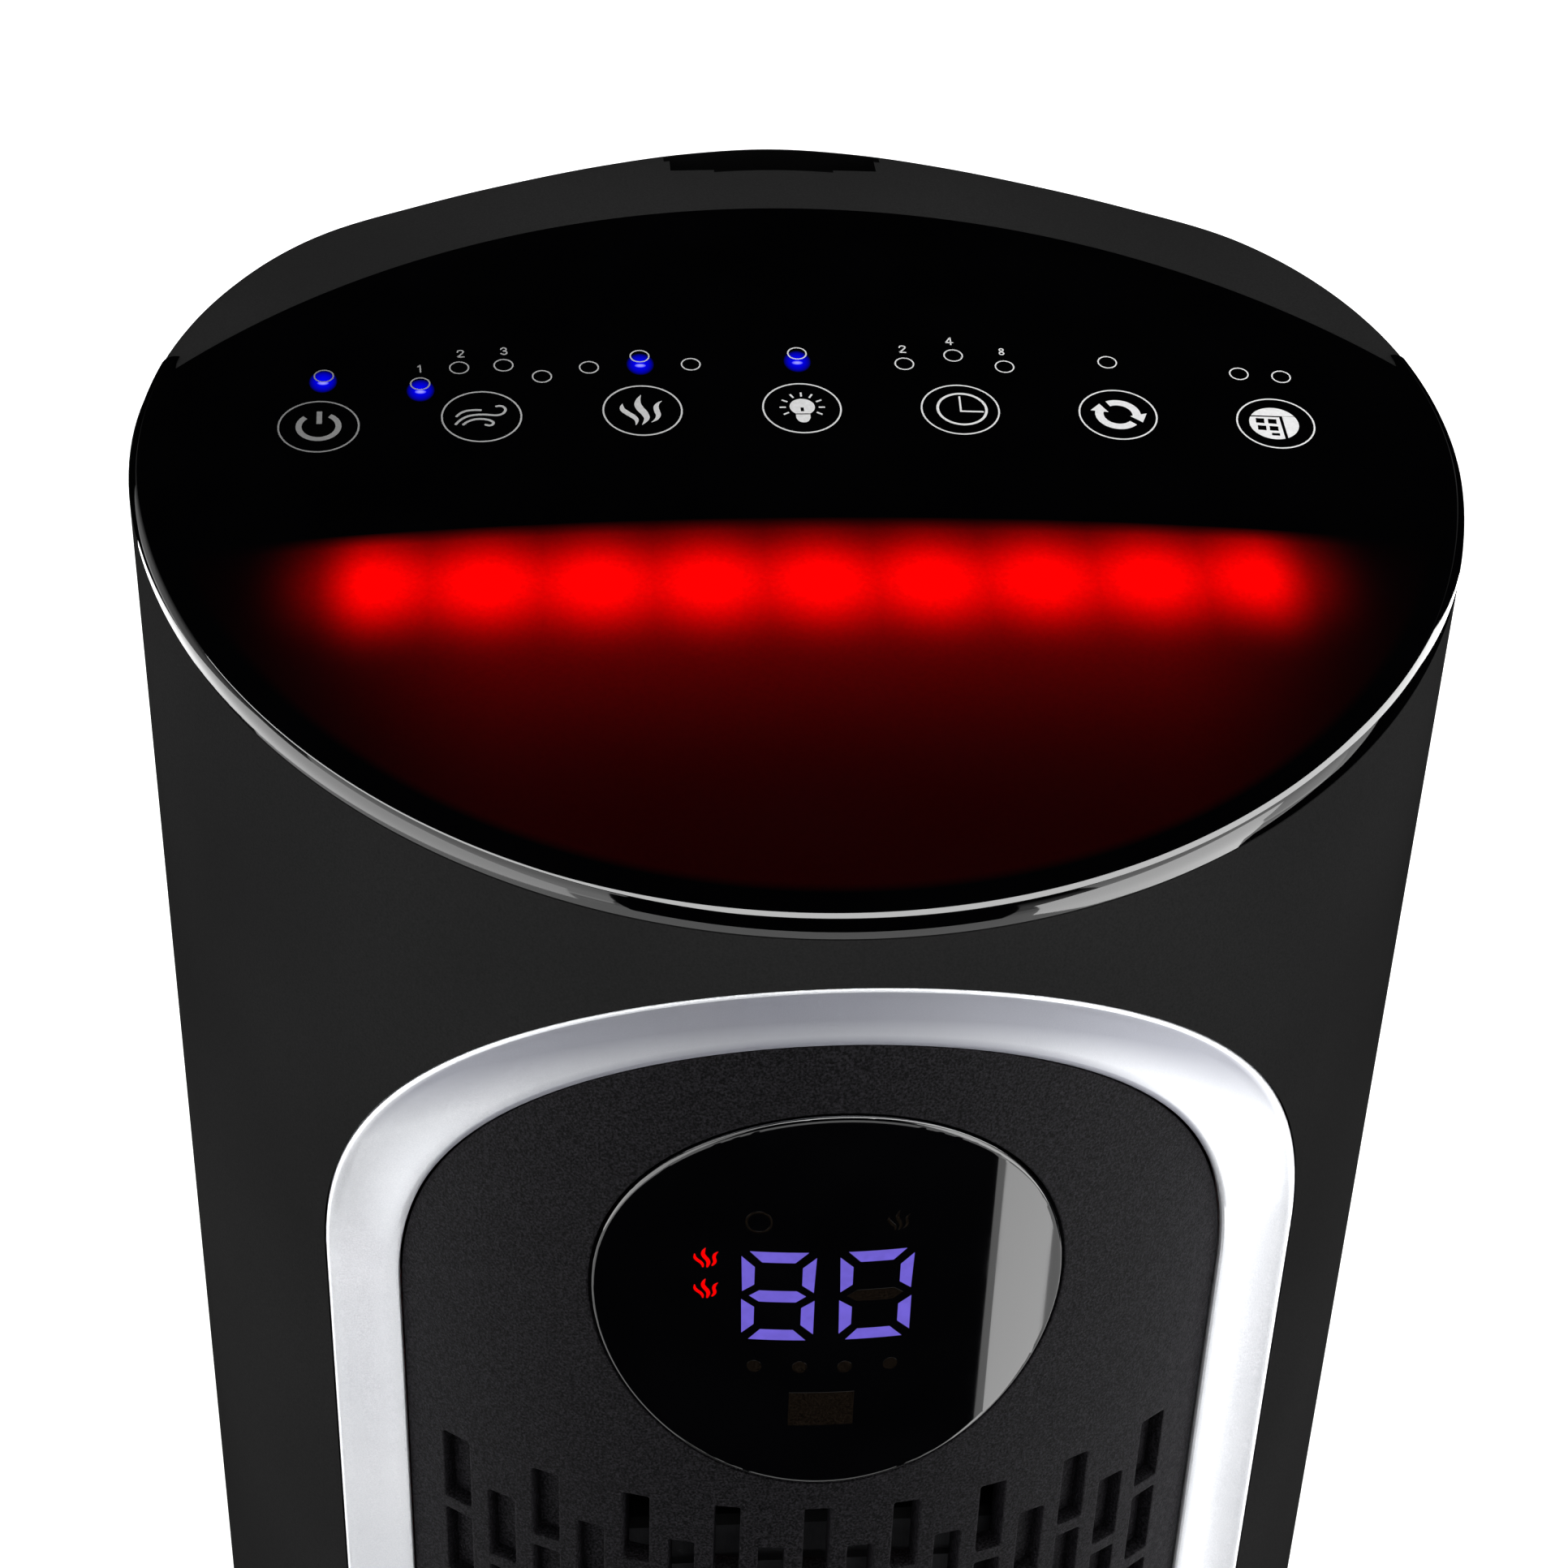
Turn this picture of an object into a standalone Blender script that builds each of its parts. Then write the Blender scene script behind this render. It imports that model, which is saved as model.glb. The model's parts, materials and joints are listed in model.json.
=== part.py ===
"""A tower fan heater with an air filter: a round tower that turns on a weighted base.

Metres, +Z up, the front is -Y. The tower's axis is the Z axis and the floor is z = 0.
Only the upper part of the real tower was seen, so the lower tower, the back, the base and
the inner pieces follow what such a product normally has.
"""

import math

import bmesh
import bpy
from mathutils import Matrix, Vector

# Whole object
total_height = 0.740
clearance = 0.0003
overrun = 0.010
weld_distance = 0.000003
smooth_angle = math.radians(35)
arc_step = math.radians(3.75)
ridge_search_steps = 40

# Tower shells
body_radius = 0.125
shell_wall = 0.0025
tower_foot_gap = 0.003
seam_angle = math.radians(83.5)
shell_top_drop = 0.046
shell_top_height = total_height - shell_top_drop
shell_inner_radius = body_radius - shell_wall

# Touch lid: a glossy plate that slopes down to the front, with a round edge.
# Its rear edge is an arc that meets the tower's side at lid_corner_reach.
# The deck behind it rises deck_rise above that edge.
lid_tilt = math.radians(14.94)
lid_thickness = 0.0044
edge_round = 0.0035
deck_length = 0.0643
lid_corner_reach = 0.0006
lid_rear_reach = body_radius - deck_length
lid_arc_rise = lid_rear_reach - lid_corner_reach
lid_rear_arc_radius = (lid_arc_rise**2 + body_radius**2) / (2 * lid_arc_rise)
lid_arc_centre = lid_rear_reach - lid_rear_arc_radius
tilt = math.tan(lid_tilt)
deck_rise = 0.004
lid_axis_height = total_height - deck_rise - lid_rear_reach * tilt
lid_drop = lid_thickness / math.cos(lid_tilt)

# Rim of the sloping top: as wide as the tower at the front, and drawn in towards the rear.
# The shares of the tower's radius are at equal steps from rim_start_angle to the rear.
rim_start_angle = math.radians(72)
rim_shares = (1.0, 0.9962, 0.9738, 0.9346, 0.8831, 0.8102, 0.7554, 0.7260, 0.7158, 0.7160)
rim_step = (math.pi - rim_start_angle) / (len(rim_shares) - 1)
shoulder_slope = 1.0
shoulder_margin = 0.001
shoulder_top_drop = lid_drop + clearance + shoulder_margin
shoulder_offset_share = math.hypot(1, shoulder_slope) - shoulder_slope

# Rear deck behind the lid, with the remote control's pocket
deck_dip = 0.0026
deck_dip_turn = math.radians(40)
pocket_width = 0.043
pocket_depth = 0.0093
pocket_lip = 0.0005
pocket_wall = 0.002
pocket_floor_drop = 0.0825
pocket_floor = total_height - pocket_floor_drop
tray_drop = 0.016
tray_thickness = 0.002
tray_gap = 0.001
tray_front_gap = 0.018
tray_radius = shell_inner_radius - tray_gap
tray_front = tray_front_gap - body_radius
tray_half_angle = math.radians(80)
tray_corner_share = 0.9

# Front window, bezel, grille panel
window_half_width = 0.0907
window_top_margin = 0.0095
window_top = lid_axis_height - body_radius * tilt - lid_drop - window_top_margin
window_bottom = 0.085
window_rise = 0.084
bezel_side = 0.0133
bezel_end = 0.0183
bezel_slope = 0.009
bezel_depth = 0.005
bezel_arch_steps = 20
panel_half_width = window_half_width - bezel_side
panel_top = window_top - bezel_end
panel_bottom = window_bottom + bezel_end
panel_rise_drop = 0.0095
panel_rise = window_rise - panel_rise_drop
panel_recess = 0.001
panel_thickness = 0.0045
panel_radius = body_radius - bezel_slope
panel_front_radius = panel_radius - panel_recess
panel_inner_radius = panel_front_radius - panel_thickness

# Display
lens_radius = 0.0425
lens_thickness = 0.003
lens_proud = 0.0004
lens_drop = 0.0574
lens_height = panel_top - lens_drop
lens_columns = 24
lens_block_share = 1.05
display_width = 0.060
display_height = 0.052
display_thickness = 0.008

# Slots in the panel
slot_pitch = 0.00833
slot_width = 0.0049
slot_height = 0.017
slot_row_pitch = 0.020
slot_drop = 0.0474
slot_foot_margin = 0.0467
slot_first_top = lens_height - slot_drop
slot_last_bottom = panel_bottom + slot_foot_margin
slot_columns_each_side = 8
open_columns_each_side = 4
blind_slot_depth = 0.0032

# Boards under the lid
board_thickness = 0.0016
light_count = 9
light_side_gap = 0.0465
light_pitch = (body_radius - light_side_gap) * 2 / (light_count - 1)
light_place = -0.0493
light_size = 0.004
light_height = 0.0015
light_bar_width = 0.009
touch_board_side_gap = 0.025
touch_board_light_gap = 0.0193
touch_board_rear_gap = 0.0036
touch_board_half_width = body_radius - touch_board_side_gap
touch_board_front = light_place + touch_board_light_gap
touch_board_corner_share = 0.8

# Base
base_step = 0.010
base_radius = body_radius + base_step
base_height = 0.040
base_wall = 0.003
base_round = 0.012
base_lip_height = 0.0045
base_plate_thickness = 0.003
foot_height = 0.004
foot_radius = 0.010
foot_round = 0.001
foot_inset = 0.025
foot_circle = base_radius - foot_inset
boss_radius = 0.0045
boss_inset = 0.0125
boss_circle = base_radius - boss_inset
boss_turn = math.radians(20)
base_screw_radius = 0.0015
base_screw_length = 0.012
screw_head_radius = 0.004
screw_head_height = 0.0018
weight_boss_gap = 0.004
weight_width = 0.030
weight_thickness = 0.010
weight_outer_radius = boss_circle - boss_radius - weight_boss_gap
weight_inner_radius = weight_outer_radius - weight_width
gland_height = 0.020
gland_radius = 0.006
gland_collar_radius = 0.009
gland_bore = 0.0033
gland_length = 0.014

# Turntable and its drive, as large as the room inside the weight
gearmotor_radius = 0.0245
weight_motor_gap = 0.0085
pinion_place = weight_inner_radius - gearmotor_radius - weight_motor_gap
pressure_angle = math.radians(20)
gear_teeth = 56
pinion_teeth = 12
gear_module = pinion_place * 2 / (gear_teeth + pinion_teeth)
gear_pitch_radius = gear_module * gear_teeth / 2
gear_addendum_share = 2 / 3
pinion_addendum_share = 0.8
tooth_dedendum_share = 1.2
gear_addendum = gear_module * gear_addendum_share
pinion_addendum = gear_module * pinion_addendum_share
tooth_dedendum = gear_module * tooth_dedendum_share
tooth_backlash = 0.0002
gear_toothed_half_angle = math.radians(50)
gear_thickness = 0.005
gear_rim_drop = 0.0035
gear_plain_radius = gear_pitch_radius - gear_rim_drop
gear_top_gap = 0.0058
gear_hub_drop = 0.008
hub_wall = 0.006
gear_bore_step = 0.002
gear_screw_inset = 0.003
hub_radius = gear_pitch_radius - gear_hub_drop
hub_bore = hub_radius - hub_wall
gear_bore = hub_bore - gear_bore_step
hub_running_gap = 0.0005
bearing_hub_gap = 0.006
bearing_width = 0.015
bearing_inner_radius = hub_radius + bearing_hub_gap
bearing_outer_radius = bearing_inner_radius + bearing_width
bearing_height = 0.0042
turntable_thickness = 0.004
pinion_thickness = 0.006
pinion_shaft_radius = 0.003
pinion_shaft_length = 0.009
gearmotor_height = 0.015
gearmotor_boss_radius = 0.006
gearmotor_boss_height = 0.002
gearmotor_ear_length = 0.008
gearmotor_ear_width = 0.012
gearmotor_ear_thickness = 0.002
gear_screw_circle = hub_radius - gear_screw_inset
gear_screw_radius = 0.0012
gear_screw_head_radius = 0.0024
gear_screw_head_height = 0.0014
gear_screw_length = 0.008

# Tip-over switch
tip_switch_weight_gap = 0.018
tip_switch_length = 0.020
tip_switch_width = 0.012
tip_switch_height = 0.014
tip_switch_place = tip_switch_weight_gap + tip_switch_width / 2 - weight_inner_radius
tip_plunger_radius = 0.003
tip_plunger_collar_radius = 0.0045
tip_plunger_length = 0.013
tip_collar_height = 0.002
tip_running_gap = 0.0004
tip_travel = 0.003
tip_floor_gap = 0.0004

# Rear door
door_half_angle = math.radians(47.6)
door_bottom = 0.122
door_top_drop = 0.138
door_top = total_height - door_top_drop
door_top_gap = 0.0012
door_columns = 14
door_slot_width = 0.0055
door_slot_rows = 5
door_slot_bar = 0.009
door_slot_foot_margin = 0.030
door_slot_head_margin = 0.065
door_slot_first = door_bottom + door_slot_foot_margin
door_slot_row_pitch = (door_top - door_slot_head_margin - door_slot_first) / door_slot_rows
door_slot_height = door_slot_row_pitch - door_slot_bar
door_tab_place = 0.020
door_tab_width = 0.012
door_tab_height = 0.005
door_tab_thickness = 0.002
latch_width = 0.026
latch_height = 0.016
latch_thickness = 0.0034
latch_tongue_width = 0.012
latch_tongue_height = 0.003
latch_tongue_thickness = 0.0012
latch_travel = 0.004

# Filter and its frame
filter_half_width = 0.068
filter_depth = 0.034
filter_foot_margin = 0.028
filter_head_margin = 0.062
filter_frame_wall = 0.003
filter_lip = 0.008
filter_door_gap = 0.0056
partition_margin = 0.006
prefilter_depth = 0.003
filter_bottom = door_bottom + filter_foot_margin
filter_top = door_top - filter_head_margin
filter_outer_half = filter_half_width + clearance + filter_frame_wall
filter_rear = math.sqrt(shell_inner_radius**2 - filter_outer_half**2) - filter_door_gap
filter_front = filter_rear - filter_depth
filter_frame_front = filter_front - clearance - filter_frame_wall

# Heater, in the duct behind the panel
scroll_wall = 0.002
duct_half_width = 0.0385
duct_panel_gap = 0.0009
duct_mouth_radius = panel_inner_radius - duct_panel_gap
duct_front = math.sqrt(duct_mouth_radius**2 - (duct_half_width + scroll_wall) ** 2)
heater_setback = 0.0008
heater_depth = 0.018
heater_rear_gap = 0.003
heater_front = duct_front - heater_setback
duct_rear = heater_front - heater_depth - heater_rear_gap
heater_frame_wall = 0.003
heater_half_width = duct_half_width - heater_frame_wall
heater_fins = 17
heater_fin_depth = 0.0016
fin_share = 0.5
cutout_radius = 0.008
cutout_height = 0.006

# Crossflow blower, as large as the room between the heater and the filter
housing_bottom = 0.131
housing_top_drop = 0.192
housing_top = total_height - housing_top_drop
housing_wall = 0.003
fan_room_gap = 0.0067
fan_room_overlap = 0.006
fan_room_rear = filter_frame_front - fan_room_gap
fan_room_front = -duct_rear - fan_room_overlap
housing_plate_radius = (fan_room_rear - fan_room_front) / 2
wheel_place = (fan_room_rear + fan_room_front) / 2
housing_plate_gap = math.radians(50)
housing_post_radius = 0.005
housing_post_inset_share = 0.132
housing_post_circle = housing_plate_radius * (1 - housing_post_inset_share)
housing_post_turn = math.radians(25)
wheel_radius_share = 0.6176
scroll_inner_share = 0.192
scroll_outer_share = 0.808
scroll_start = math.radians(70)
scroll_end = math.radians(215)
scroll_steps = 10
tongue_angle = math.radians(-35)
wheel_radius = housing_plate_radius * wheel_radius_share
scroll_room = housing_plate_radius - wheel_radius
scroll_inner_gap = scroll_room * scroll_inner_share
scroll_outer_gap = scroll_room * scroll_outer_share
wheel_foot_gap = 0.006
wheel_head_gap = 0.007
wheel_bottom = housing_bottom + wheel_foot_gap
wheel_top = housing_top - wheel_head_gap
wheel_disc_thickness = 0.004
wheel_blades = 14
blade_chord_share = 0.262
blade_inset_share = 0.1785
wheel_ring_share = 0.357
blade_chord = wheel_radius * blade_chord_share
blade_inset = wheel_radius * blade_inset_share
wheel_ring_width = wheel_radius * wheel_ring_share
blade_thickness = 0.0014
blade_angle = math.radians(38)
wheel_hub_radius = 0.010
wheel_hub_height = 0.018
shaft_radius = 0.004
shaft_motor_length = 0.033
shaft_hub_length = 0.013
shaft_bottom = housing_bottom - shaft_motor_length
shaft_top = wheel_bottom + shaft_hub_length
shaft_gap = 0.0004
wheel_pin_length = 0.015
heater_foot_margin = 0.059
heater_head_margin = 0.018
heater_bottom = housing_bottom + heater_foot_margin
heater_top = housing_top - heater_head_margin
bush_radius = 0.010
bush_flange_radius = 0.014
bush_flange_height = 0.003
motor_radius = 0.036
motor_height = 0.050
motor_round = 0.006
damper_inner_radius = 0.016
damper_outer_radius = 0.028
damper_height = 0.003

# Power board, upright behind the motor
power_board_half_width = 0.045
power_board_height = 0.062
power_board_rear_gap = 0.0213
transformer_width = 0.022
transformer_height = 0.020
transformer_depth = 0.016
capacitor_radius = 0.005
capacitor_pitch = 0.015
capacitor_depth = 0.014
power_board_reach = math.sqrt(shell_inner_radius**2 - power_board_half_width**2)
power_board_rear = power_board_reach - power_board_rear_gap - transformer_depth

# Heights and places worked out from the sizes above
base_plate_bottom = foot_height + clearance
base_plate_top = base_plate_bottom + base_plate_thickness
bearing_bottom = base_height + clearance
turntable_bottom = bearing_bottom + bearing_height + clearance
turntable_top = turntable_bottom + turntable_thickness
tower_bottom = base_height + tower_foot_gap
gear_top = base_height - base_wall - gear_top_gap
gear_bottom = gear_top - gear_thickness
pinion_bottom = gear_bottom - (pinion_thickness - gear_thickness) / 2
wheel_centre = Vector((0, wheel_place, 0))
door_hinge_place = body_radius


def material(name, colour, roughness, metallic=0.0):
    made = bpy.data.materials.new(name)
    made.use_nodes = True
    shader = made.node_tree.nodes["Principled BSDF"]
    shader.inputs["Base Color"].default_value = (*colour, 1)
    shader.inputs["Roughness"].default_value = roughness
    shader.inputs["Metallic"].default_value = metallic
    made.diffuse_color = (*colour, 1)
    return made


def make_object(name, shape, finish=None):
    """An object from a bmesh: smooth on its round faces, sharp on its corners."""
    bmesh.ops.remove_doubles(shape, verts=shape.verts, dist=weld_distance)
    bmesh.ops.dissolve_degenerate(shape, edges=shape.edges, dist=weld_distance)
    bmesh.ops.recalc_face_normals(shape, faces=shape.faces)
    mesh = bpy.data.meshes.new(name)
    shape.to_mesh(mesh)
    shape.free()
    mesh.shade_smooth()
    mesh.set_sharp_from_angle(angle=smooth_angle)
    obj = bpy.data.objects.new(name, mesh)
    bpy.context.scene.collection.objects.link(obj)
    if finish is not None:
        mesh.materials.append(finish)
    return obj


def helper(name, shape):
    """A shape that only cuts or joins another: it isn't a piece of its own."""
    obj = make_object(name, shape)
    obj.hide_render = True
    obj.display_type = "WIRE"
    return obj


def boolean(obj, other, operation):
    step = obj.modifiers.new(other.name, "BOOLEAN")
    step.object = other
    step.operation = operation
    step.solver = "EXACT"


def cut(obj, shape):
    boolean(obj, helper(f"{obj.name}_cut_{len(obj.modifiers)}", shape), "DIFFERENCE")


def join(obj, shape):
    boolean(obj, helper(f"{obj.name}_add_{len(obj.modifiers)}", shape), "UNION")


def keep_inside(obj, shape):
    boolean(obj, helper(f"{obj.name}_keep_{len(obj.modifiers)}", shape), "INTERSECT")


def merged(*shapes):
    """Several shapes in one bmesh."""
    whole = bmesh.new()
    for shape in shapes:
        mesh = bpy.data.meshes.new("merged")
        shape.to_mesh(mesh)
        shape.free()
        whole.from_mesh(mesh)
        bpy.data.meshes.remove(mesh)
    return whole


def loft(loops, closed=False):
    """Faces between loops of as many points each. The ends are capped unless it closes on itself."""
    shape = bmesh.new()
    rings = [[shape.verts.new(point) for point in loop] for loop in loops]
    count = len(rings[0])
    pairs = list(zip(rings, rings[1:]))
    if closed:
        pairs.append((rings[-1], rings[0]))
    for first, second in pairs:
        for i in range(count):
            j = (i + 1) % count
            shape.faces.new((first[i], first[j], second[j], second[i]))
    if not closed:
        shape.faces.new(rings[0][::-1])
        shape.faces.new(rings[-1])
    bmesh.ops.remove_doubles(shape, verts=shape.verts, dist=weld_distance)
    bmesh.ops.recalc_face_normals(shape, faces=shape.faces)
    return shape


def prism(outline, low, high):
    """An outline in x and y, drawn up from low to high."""
    return loft([[(x, y, z) for x, y in outline] for z in (low, high)])


def prism_along_y(outline, front, rear):
    """An outline in x and z, drawn from front to rear along y."""
    return loft([[(x, y, z) for x, z in outline] for y in (front, rear)])


def box(low, high):
    corners = [(low[0], low[1]), (high[0], low[1]), (high[0], high[1]), (low[0], high[1])]
    return prism(corners, low[2], high[2])


def moved(shape, matrix):
    bmesh.ops.transform(shape, matrix=matrix, verts=shape.verts)
    return shape


def turned(outline, centre=(0, 0, 0), steps=48):
    """A closed outline of radius and height, turned round a vertical axis through centre."""
    loops = []
    for i in range(steps):
        angle = math.tau * i / steps
        x, y = math.cos(angle), math.sin(angle)
        loops.append([(r * x + centre[0], r * y + centre[1], z + centre[2]) for r, z in outline])
    return loft(loops, closed=True)


def rod(radius, low, high, centre=(0, 0), steps=24):
    return prism(circle(radius, centre, steps), low, high)


def tube(inner, outer, low, high, centre=(0, 0, 0), steps=48):
    return turned([(inner, low), (outer, low), (outer, high), (inner, high)], centre, steps)


def circle(radius, centre=(0, 0), steps=24):
    angles = [math.tau * i / steps for i in range(steps)]
    return [(centre[0] + radius * math.cos(a), centre[1] + radius * math.sin(a)) for a in angles]


def spread(first, last, count):
    """Evenly spaced numbers from first to last, with count steps between them."""
    return [first + (last - first) * i / count for i in range(count + 1)]


def front_point(angle, radius):
    """Angle is measured from the front, -Y, towards +X."""
    return radius * math.sin(angle), -radius * math.cos(angle)


def rear_point(angle, radius):
    """Angle is measured from the rear, +Y, towards +X."""
    return radius * math.sin(angle), radius * math.cos(angle)


def curved_wall(points, inner, outer, low, high):
    """A wall round the tower's axis, from low to high."""
    loops = []
    for direction in points:
        outside = (direction[0] * outer, direction[1] * outer)
        inside = (direction[0] * inner, direction[1] * inner)
        loops.append([(*outside, low), (*outside, high), (*inside, high), (*inside, low)])
    return loft(loops)


def lid_plane(y):
    return lid_axis_height + y * tilt


def arch(half_width, top, bottom, rise, steps=bezel_arch_steps):
    """A tall closed outline in x and z with an arch at each end, anticlockwise from the right."""
    upper = [
        (half_width * math.cos(a), top - rise + rise * math.sin(a)) for a in spread(0, math.pi, steps)
    ]
    lower = [
        (half_width * math.cos(a), bottom + rise + rise * math.sin(a))
        for a in spread(math.pi, math.tau, steps)
    ]
    return upper + lower


def lid_arc_y(x, grow=0.0):
    """The lid's rear edge at x."""
    return lid_arc_centre + math.sqrt((lid_rear_arc_radius + grow) ** 2 - x * x)


def rim_radius(angle):
    """The sloping top's radius, angle from the front: a smooth curve through rim_shares."""
    last = len(rim_shares) - 1
    place = max(abs(angle) - rim_start_angle, 0) / rim_step
    step = min(int(place), last - 1)
    near = [rim_shares[last - abs(last - max(i, 0))] for i in range(step - 1, step + 3)]
    along = place - step
    share = near[1] + (near[2] - near[1]) * along**2 * (3 - 2 * along)
    share += (near[2] - near[0]) / 2 * along * (1 - along) ** 2
    share -= (near[3] - near[1]) / 2 * along**2 * (1 - along)
    return body_radius * share


def shoulder_foot(angle, top):
    """The height where the shoulder below the rim meets the tower's side."""
    return top - shoulder_top_drop - (body_radius - rim_radius(angle)) * shoulder_slope


def lid_loop(inset, drop):
    """The lid's outline with its round edge drawn in by inset, as points drop below its face."""
    half_turn = math.pi - seam_angle
    count = 2 * round(half_turn / arc_step)
    loop = []
    for angle in spread(-half_turn, half_turn, count):
        x, y = front_point(angle, rim_radius(angle) - inset)
        loop.append((x, y, lid_plane(y) - drop))
    corner_x, corner_y = front_point(half_turn, rim_radius(half_turn) - edge_round)
    loop.append((corner_x, corner_y, lid_plane(corner_y) - drop))
    for x in spread(corner_x, -corner_x, count // 2):
        y = lid_arc_y(x)
        loop.append((x, y, lid_plane(y) - drop))
    loop.append((-corner_x, corner_y, lid_plane(corner_y) - drop))
    return loop


def deck_ridge(x):
    """Where the deck's face ends and its round edge begins at x: the angle from the rear, and y."""
    low, high = 0, seam_angle
    for _ in range(ridge_search_steps):
        angle = (low + high) / 2
        found_x, found_y = rear_point(angle, rim_radius(math.pi - angle) - edge_round)
        low, high = (angle, high) if found_x < abs(x) else (low, angle)
    return angle, found_y


def deck_height(x, y, inset=0.0):
    """The deck's face, or a face that lies inset below it: in the lid's plane, but for a dip at the rim."""
    angle, ridge_y = deck_ridge(x)
    lid_y = lid_arc_y(x, clearance + inset)
    share = min((y - lid_y) / (ridge_y - lid_y), 1)
    turn = min((seam_angle - angle) / deck_dip_turn, 1)
    dip = deck_dip * turn**2 * (3 - 2 * turn) * share**2
    return lid_plane(y) - clearance - inset - dip


def deck_block(inset, bottom, columns=28):
    """The crescent behind the lid with the shoulder round it, drawn in by inset, down to bottom."""
    end = seam_angle - (clearance + inset * 2) / body_radius
    rounding = edge_round - inset
    lowered = inset * (shoulder_offset_share - 1)
    loops = []
    for angle in spread(-end, end, columns):
        front_angle = math.pi - abs(angle)
        rim = rim_radius(front_angle)
        x, ridge_y = rear_point(angle, rim - edge_round)
        lid_y = lid_arc_y(x, clearance + inset)
        loop = [(x, y, deck_height(x, y, inset)) for y in spread(lid_y, ridge_y, 3)]
        edge = loop[-1][2]
        for turn in spread(0, math.pi / 2, 3)[1:]:
            radius = rim - edge_round + rounding * math.sin(turn)
            loop.append((*rear_point(angle, radius), edge - rounding * (1 - math.cos(turn))))
        foot = shoulder_foot(front_angle, edge) - lowered
        loop.append((*rear_point(angle, rim - inset), edge - lid_drop - lowered))
        loop.append((*rear_point(angle, body_radius - inset), foot))
        loop.append((*rear_point(angle, body_radius - inset), bottom))
        loop += [(x, ridge_y, bottom), (x, lid_y, bottom)]
        loops.append(loop)
    shape = loft(loops)
    for face in [face for face in shape.faces if len(face.verts) > 4]:
        corner = [v for v in face.verts if abs(v.co.y - ridge_y) < weld_distance]
        corner = [v for v in corner if abs(abs(v.co.x) - abs(x)) < weld_distance]
        bmesh.utils.face_split(face, *corner)
    bmesh.ops.triangulate(shape, faces=shape.faces)
    return shape


def involute(angle):
    return math.tan(angle) - angle


def tooth_outline(teeth, addendum, phase, only=None):
    """Points of a gear's toothed rim. Only limits it to the teeth whose middle lies within that angle."""
    pitch = gear_module * teeth / 2
    base_circle = pitch * math.cos(pressure_angle)
    root = pitch - tooth_dedendum
    tip = pitch + addendum
    half = math.pi / (2 * teeth) - tooth_backlash / pitch
    start = max(base_circle, root)
    points = []
    for tooth in range(teeth):
        middle = phase + math.tau * tooth / teeth
        turn = (middle + math.pi) % math.tau - math.pi
        if only is not None and abs(turn) > only:
            points.append((gear_plain_radius, middle))
            continue
        flank = []
        for radius in spread(start, tip, 2):
            roll = math.acos(min(1, base_circle / radius))
            spread_angle = half + involute(pressure_angle) - involute(roll)
            flank.append((radius, spread_angle))
        if root < start:
            flank.insert(0, (root, flank[0][1]))
        points += [(radius, middle - a) for radius, a in flank]
        points += [(radius, middle + a) for radius, a in reversed(flank)]
    return [(r * math.cos(a), r * math.sin(a)) for r, a in points]


def screw(name, place, bottom, radius, length, head_radius, head_height, finish):
    """A pan head screw that goes up from its head at bottom."""
    outline = [
        (0, bottom),
        (head_radius, bottom),
        (head_radius, bottom + head_height),
        (radius, bottom + head_height),
        (radius, bottom + head_height + length),
        (0, bottom + head_height + length),
    ]
    return make_object(name, solid_turned(outline, (*place, 0), 10), finish)


def solid_turned(outline, centre=(0, 0, 0), steps=24):
    """An outline that starts and ends on the axis, turned into a solid with no bore."""
    shape = bmesh.new()
    rings = []
    for r, z in outline:
        if r == 0:
            rings.append([shape.verts.new((centre[0], centre[1], z + centre[2]))] * steps)
            continue
        ring = []
        for x, y in circle(r, (centre[0], centre[1]), steps):
            ring.append(shape.verts.new((x, y, z + centre[2])))
        rings.append(ring)
    for first, second in zip(rings, rings[1:]):
        for i in range(steps):
            j = (i + 1) % steps
            corners = []
            for corner in (first[i], first[j], second[j], second[i]):
                if corner not in corners:
                    corners.append(corner)
            if len(corners) > 2:
                shape.faces.new(corners)
    bmesh.ops.recalc_face_normals(shape, faces=shape.faces)
    return shape


def along_y(shape, centre):
    """Lays a shape that was turned round the Z axis along +Y, from centre."""
    return moved(shape, Matrix.Translation(centre) @ Matrix.Rotation(-math.pi / 2, 4, "X"))


def wall_strip(points, thickness, low, high):
    """A wall that follows a path in x and y, to the left of it."""
    outer = []
    for i, point in enumerate(points):
        before = Vector(points[max(i - 1, 0)])
        after = Vector(points[min(i + 1, len(points) - 1)])
        run = (after - before).normalized()
        outer.append((point[0] - run.y * thickness, point[1] + run.x * thickness))
    return prism(points + outer[::-1], low, high)


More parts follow.
